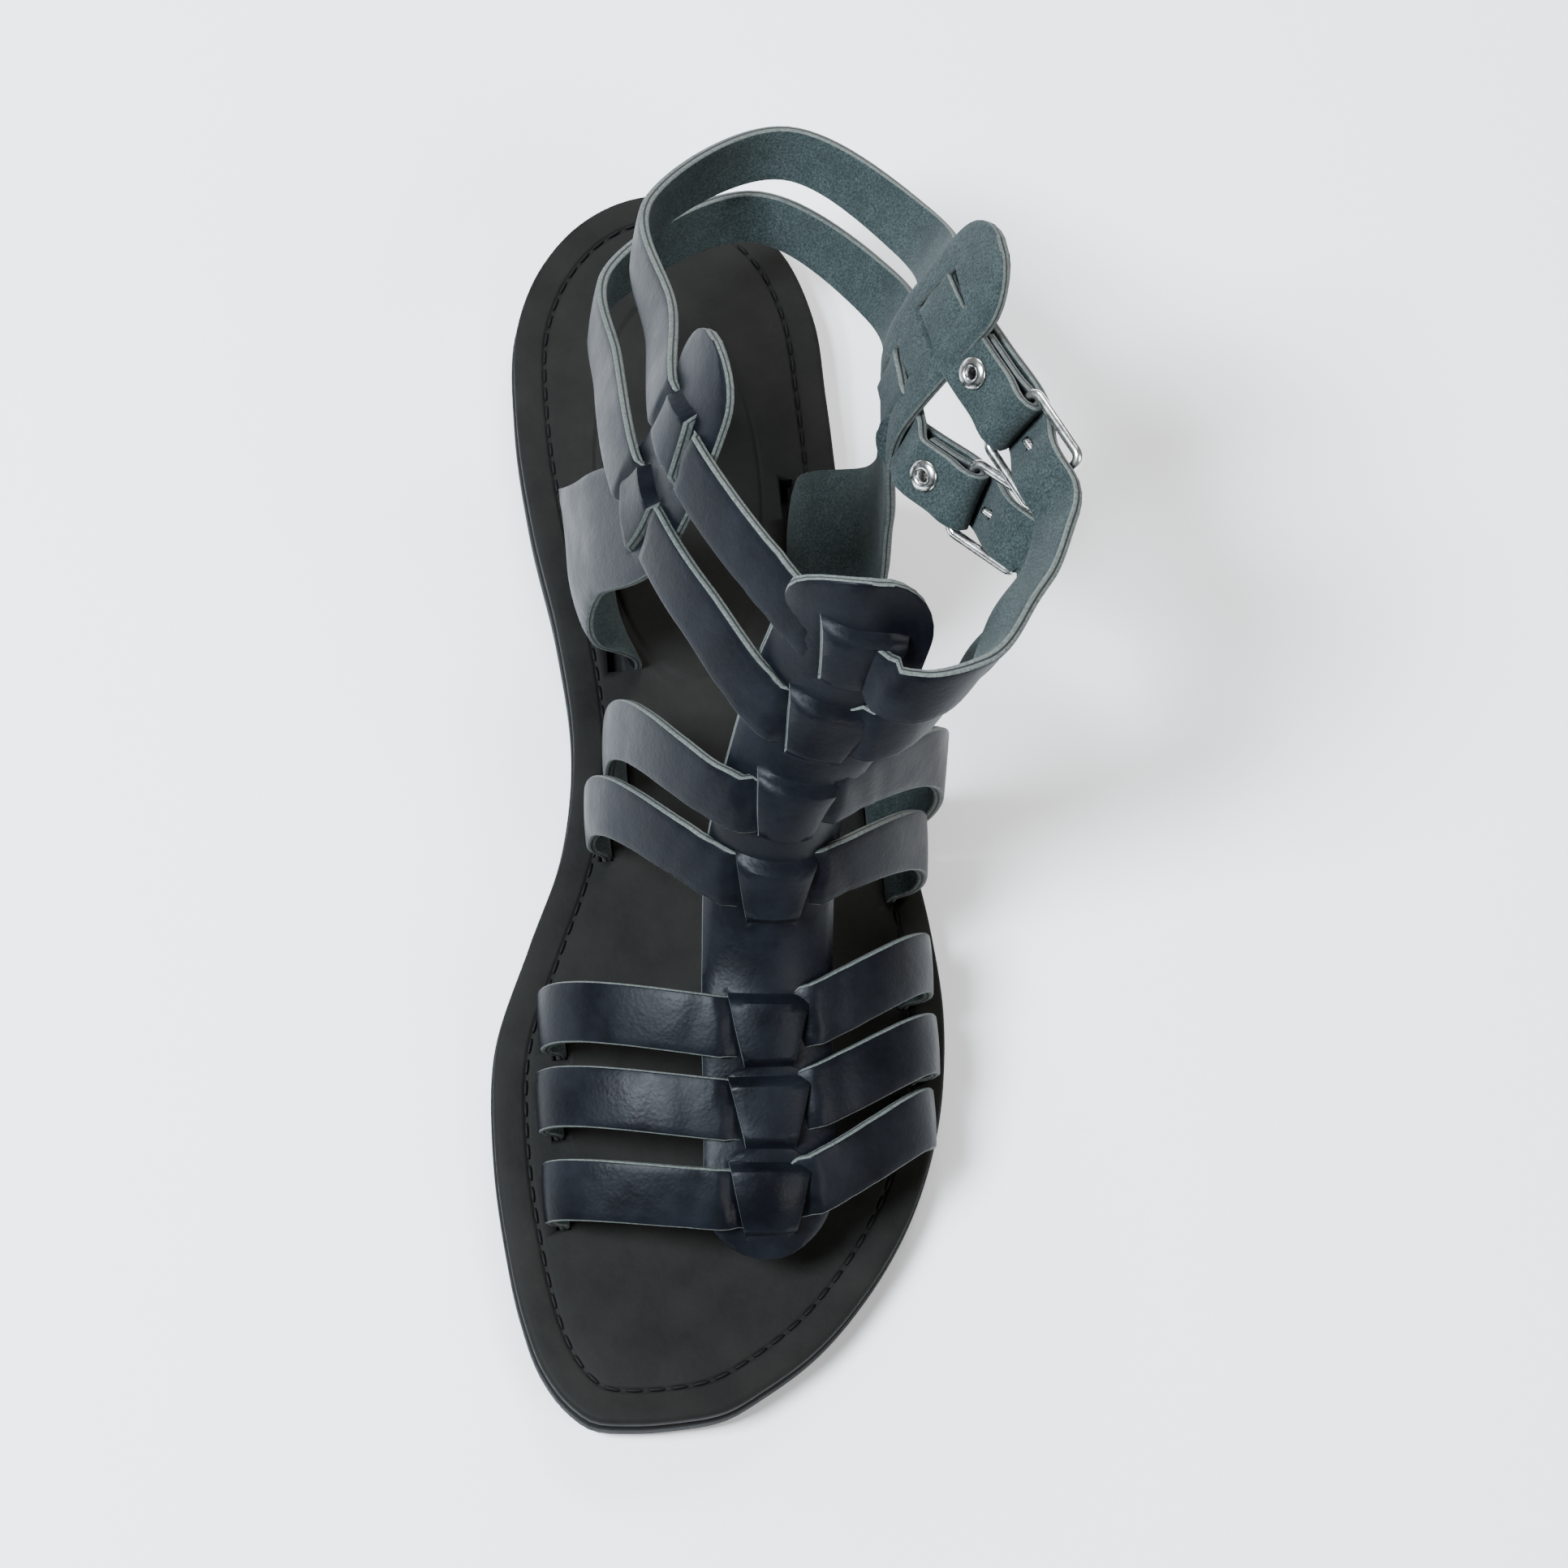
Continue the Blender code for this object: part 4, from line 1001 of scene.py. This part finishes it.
def makeRivet(name, looks, seat):
    head, bore, low = hardware["rivetHead"], hardware["rivetBore"], hardware["rivetSeat"]
    top = low + hardware["rivetHeight"]
    half = [(bore, 0.0), (bore, low), (bore + 0.0002, top - 0.0003), (bore + 0.0005, top - 0.00005),
            (0.6 * head, top), (0.85 * head, top - 0.0002), (0.97 * head, top - 0.0005), (head, low + 0.0001),
            (0.97 * head, low), (0.0015, low), (0.0015, 0.0)]
    profile = half + [(r, -h) for r, h in reversed(half[1:-1])]
    centre = seat.at(buckle["reach"] + buckle["rivetShare"] * looks["fold"], 0.0)
    sides, count = 40, len(profile)
    vertices, faces = [], []
    for k in range(sides):
        turn = 2 * math.pi * k / sides
        ray = math.cos(turn) * seat.run + math.sin(turn) * seat.width
        vertices += [centre + r * ray + h * seat.outward for r, h in profile]
        a, b = k * count, (k + 1) % sides * count
        faces += [(a + j, a + (j + 1) % count, b + (j + 1) % count, b + j) for j in range(count)]
    rivet = reworked(meshPiece(name + "_rivet", vertices, faces, [nickel]),
                     lambda work: bmesh.ops.recalc_face_normals(work, faces=list(work.faces)))
    finishPiece(rivet, "rivet_" + name)


frameTree = wireTree()
for strapName, looks in ankleStraps.items():
    makeFrame(strapName, seats[strapName], frameTree)
    makeProng(strapName, seats[strapName])
    makeRivet(strapName, looks, seats[strapName])
print("metal made")

# Sole: the outline is a smooth closed loop through shares of the half length and half width
sole = {
    "sections": (
        (-1.00, -0.49, -0.31), (-0.99, -0.66, -0.09), (-0.96, -0.76, 0.08), (-0.91, -0.85, 0.30),
        (-0.83, -0.92, 0.53), (-0.72, -0.97, 0.75), (-0.58, -1.00, 0.91), (-0.42, -0.97, 0.98),
        (-0.27, -0.81, 0.96), (-0.12, -0.66, 0.93), (0.04, -0.63, 0.95), (0.23, -0.75, 1.00),
        (0.42, -0.94, 1.02), (0.62, -1.01, 1.00), (0.77, -0.97, 0.96), (0.885, -0.77, 0.80),
        (0.955, -0.51, 0.57), (0.99, -0.25, 0.31), (1.00, -0.08, 0.14),
    ),
    "points": 300,
    "footbedInset": 0.0004,
    "stitchInset": 0.0066,
    "axisReach": 0.72,       # share of the half length over which the inner rings close in
    "shrink": (0.10, 0.22, 0.36, 0.50, 0.64, 0.78, 0.90),
    "fewShrink": (0.3, 0.6, 0.9),        # on the faces that lie against each other
}


def soleLoop():
    inner = [(a * halfWidth(along), along * last["soleLength"] / 2) for along, a, _ in sole["sections"]]
    outer = [(b * halfWidth(along), along * last["soleLength"] / 2) for along, _, b in sole["sections"]]
    ring = [(x, y, 0.0) for x, y in list(reversed(inner)) + outer]
    wrap = 4
    rows = smoothRows(ring[-wrap:] + ring + ring[:wrap], 16)[wrap * 16:-(wrap - 1) * 16][:, :2]
    lengths = np.concatenate(([0.0], np.cumsum(np.linalg.norm(np.diff(rows, axis=0), axis=1))))
    even = np.linspace(0.0, lengths[-1], sole["points"], endpoint=False)
    return np.stack([np.interp(even, lengths, rows[:, k]) for k in (0, 1)], axis=1)


def insetLoop(loop, distance):
    # in steps of about a millimetre, eased each time so that tight bends stay round
    steps = max(1, math.ceil(distance / 0.001))
    for _ in range(steps):
        edge = np.roll(loop, -1, axis=0) - np.roll(loop, 1, axis=0)
        edge /= np.linalg.norm(edge, axis=1)[:, None]
        loop = loop + distance / steps * np.stack((-edge[:, 1], edge[:, 0]), axis=1)
        if steps > 1:
            loop = 0.5 * loop + 0.25 * (np.roll(loop, -1, axis=0) + np.roll(loop, 1, axis=0))
    return loop


def toeLift(y):
    start = last["toeSpringStart"] * last["soleLength"] / 2
    return last["toeSpring"] * max(0.0, (-y - start) / (last["soleLength"] / 2 - start)) ** 2


def midLine(point):
    reach = sole["axisReach"] * last["soleLength"] / 2
    y = max(-reach, min(reach, 0.92 * point[1]))
    along = y / (last["soleLength"] / 2)
    inner, outer = [np.interp(along, [s[0] for s in sole["sections"]], [s[k] for s in sole["sections"]])
                    for k in (1, 2)]
    return np.array((0.5 * (inner + outer) * halfWidth(along), y))


def slabFrom(name, lower, upper, bottomShrink, topShrink, dips, material):
    # rings run from the middle of the underside, round the edge, to the middle of the top
    loop = soleLoop()
    rings = []

    def shrunk(base, share):
        return np.array([p + share * (midLine(p) - p) for p in base])

    innerLow = insetLoop(loop, lower[0][0])
    rings += [(shrunk(innerLow, share), lower[0][1]) for share in reversed(bottomShrink)]
    rings += [(insetLoop(loop, inset), z) for inset, z in lower + upper]
    innerTop = insetLoop(loop, upper[-1][0])
    rings += [(shrunk(innerTop, share), upper[-1][1]) for share in topShrink]
    count = len(loop)
    vertices, faces = [], []
    for ring, z in rings:
        for x, y in ring:
            vertices.append((x, y, z + toeLift(y) - (dips(x, y) if z > upper[0][1] else 0.0)))
    for k in range(len(rings) - 1):
        for i in range(count):
            n = (i + 1) % count
            faces.append((k * count + i, k * count + n, (k + 1) * count + n, (k + 1) * count + i))
    top = (len(rings) - 1) * count
    faces += [tuple(reversed(range(count))), tuple(top + i for i in range(count))]
    return reworked(meshPiece(name, vertices, faces, [material]), lambda work: bmesh.ops.triangulate(
        work, faces=[face for face in work.faces if len(face.verts) > 4]))


def footDips(x, y):
    heel = 0.00030 * math.exp(-((x + 0.001) / 0.017) ** 2 - ((y - 0.092) / 0.026) ** 2)
    ball = 0.00025 * math.exp(-((x + 0.006) / 0.024) ** 2 - ((y + 0.062) / 0.030) ** 2)
    return heel + ball


def slotCutter(name, root, width):
    work = bmesh.new()
    size = (strap["thickness"] + 2 * last["gap"], width + 2 * last["gap"], 3 * last["insole"])
    bmesh.ops.create_cube(work, size=1.0, matrix=Matrix.Translation((root[0], root[1], footbed)) @
                          Matrix.Diagonal((*size, 1.0)))
    return cutterFrom(name, work)


def makeFootbed():
    groove, depth = sole["stitchInset"], 0.00045
    base = sole["footbedInset"]
    lower = [(base + 0.0007, insoleBottom), (base + 0.0002, insoleBottom + 0.0002),
             (base, insoleBottom + 0.0007)]
    upper = [(base, footbed - 0.0010), (base + 0.00015, footbed - 0.0005), (base + 0.0005, footbed - 0.00015),
             (base + 0.0011, footbed), (0.0030, footbed), (groove - 0.0009, footbed),
             (groove - 0.0005, footbed - 0.2 * depth),
             (groove - 0.00025, footbed - depth), (groove + 0.00025, footbed - depth),
             (groove + 0.0005, footbed - 0.2 * depth), (groove + 0.0009, footbed)]
    piece = slabFrom("footbed", lower, upper, sole["fewShrink"], sole["shrink"], footDips, footbedLeather)
    cutters = []
    for name, (_, innerSide, outerSide) in crossStraps.items():
        for side in (innerSide, outerSide):
            cutters.append(slotCutter(name + "Slot", overLast(side.across, side.along, 0.0), strap["width"]))
    for place in (tabs["inner"][0], tabs["outer"][0]):
        cutters.append(slotCutter("tabSlot", overLast(*place), tabs["baseWidth"]))
    cutOut(piece, cutters)
    finishPiece(piece, "insole")


def makeOutsole():
    height = last["outsole"]
    lower = [(0.0014, 0.0), (0.0005, 0.0002), (0.0001, 0.0007), (0.0, 0.0013)]
    upper = [(0.0, height - 0.0013), (0.0001, height - 0.0006), (0.0005, height - 0.0001), (0.0010, height)]
    piece = slabFrom("outsole_rubber", lower, upper, sole["shrink"], sole["fewShrink"],
                     lambda x, y: 0.0, rubber)
    finishPiece(piece, "outsole")


makeFootbed()
makeOutsole()
print("sole made")

# Stitches: Geometry Nodes set one along the groove at an even pitch
stitch = {"pitch": 0.0042, "length": 0.0031, "thick": 0.00075, "sink": 0.00010}


def stitchTree():
    tree, source, result, curve, points, body, instance, real, smooth, material = nodeGroup(
        "stitchRow", {"Pitch": "Float", "Stitch Size": "Vector", "Thread": "Material"},
        ("MeshToCurve", "CurveToPoints", "MeshIcoSphere", "InstanceOnPoints", "RealizeInstances",
         "SetShadeSmooth", "SetMaterial"))
    points.mode = "LENGTH"
    setInputs(body, {"Radius": 0.5, "Subdivisions": 3})
    linkAll(tree, ((source, "Geometry", curve, "Mesh"),
                   (curve, "Curve", points, "Curve"),
                   (source, "Pitch", points, "Length"),
                   (points, "Points", instance, "Points"),
                   (points, "Rotation", instance, "Rotation"),
                   (body, "Mesh", instance, "Instance"),
                   (source, "Stitch Size", instance, "Scale"),
                   (instance, "Instances", real, "Geometry"),
                   (real, "Geometry", smooth, "Geometry"),
                   (smooth, "Geometry", material, "Geometry"),
                   (source, "Thread", material, "Material"),
                   (material, "Geometry", result, "Geometry")))
    return tree


def makeStitches():
    level = footbed - stitch["sink"]
    path = [(x, y, level + toeLift(y)) for x, y in insetLoop(soleLoop(), sole["stitchInset"])]
    row = edgeLoop("footbed_stitches", path)
    size = (stitch["thick"], stitch["thick"], stitch["length"])
    bakeNodes(row, stitchTree(), {"Pitch": stitch["pitch"], "Stitch Size": size, "Thread": thread})
    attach(row, "root")


makeStitches()
print("stitches made")

# Camera and light
camera = {
    "place": (-0.0533, -0.2650, 0.7048),
    "view": (0.0179, 0.3416, -0.9397),
    "right": (0.99863, -0.05234, 0.0),
    "turnRight": 0.0751,     # tangents of the turn from the photo's middle to the shoe
    "turnUp": 0.0140,
    "focal": 2.40,           # in picture widths
}
cameraData = bpy.data.cameras.new("camera")
cameraData.sensor_width = 36.0
cameraData.lens = 36.0 * camera["focal"]
cameraData.clip_start = 0.01
cameraObject = bpy.data.objects.new("camera", cameraData)
view, right = Vector(camera["view"]).normalized(), Vector(camera["right"]).normalized()
view = (view + camera["turnRight"] * right + camera["turnUp"] * right.cross(view)).normalized()
right = (right - right.dot(view) * view).normalized()
turned = Matrix((right, right.cross(view), -view)).transposed().to_4x4()
cameraObject.matrix_world = Matrix.Translation(camera["place"]) @ turned
scene.collection.objects.link(cameraObject)
scene.camera = cameraObject


def softLight(name, place, aim, size, power, colour=(1, 1, 1)):
    data = bpy.data.lights.new(name, "AREA")
    data.shape = "RECTANGLE"
    data.size, data.size_y = size
    data.energy = power
    data.color = colour
    lamp = bpy.data.objects.new(name, data)
    lamp.location = place
    lamp.rotation_euler = (Vector(aim) - Vector(place)).to_track_quat("-Z", "Y").to_euler()
    scene.collection.objects.link(lamp)


softLight("highSoftbox", (-0.58, -0.12, 0.95), (0, 0, 0.03), (0.30, 0.42), 46, (0.82, 0.91, 1.0))
softLight("backSoftbox", (0.25, 1.3, 1.1), (0, 0, 0.03), (0.8, 0.5), 34)
softLight("fillSoftbox", (1.0, -0.9, 1.2), (0, 0, 0.03), (0.8, 0.8), 22)
world = bpy.data.worlds.new("paleStudio")
world.use_nodes = True
setInputs(world.node_tree.nodes["Background"], {"Color": (1, 1, 1, 1), "Strength": 0.22})
scene.world = world

floor = meshPiece("floor", [(-3, -3, -0.0002), (3, -3, -0.0002), (3, 3, -0.0002), (-3, 3, -0.0002)],
                  [(0, 1, 2, 3)], [], None, False)
floorMaterial, floorNet = newMaterial("paleFloor")
setInputs(floorNet.shader, {"Base Color": (0.88, 0.88, 0.88, 1), "Roughness": 0.9})
floor.data.materials.append(floorMaterial)

print("scene made")
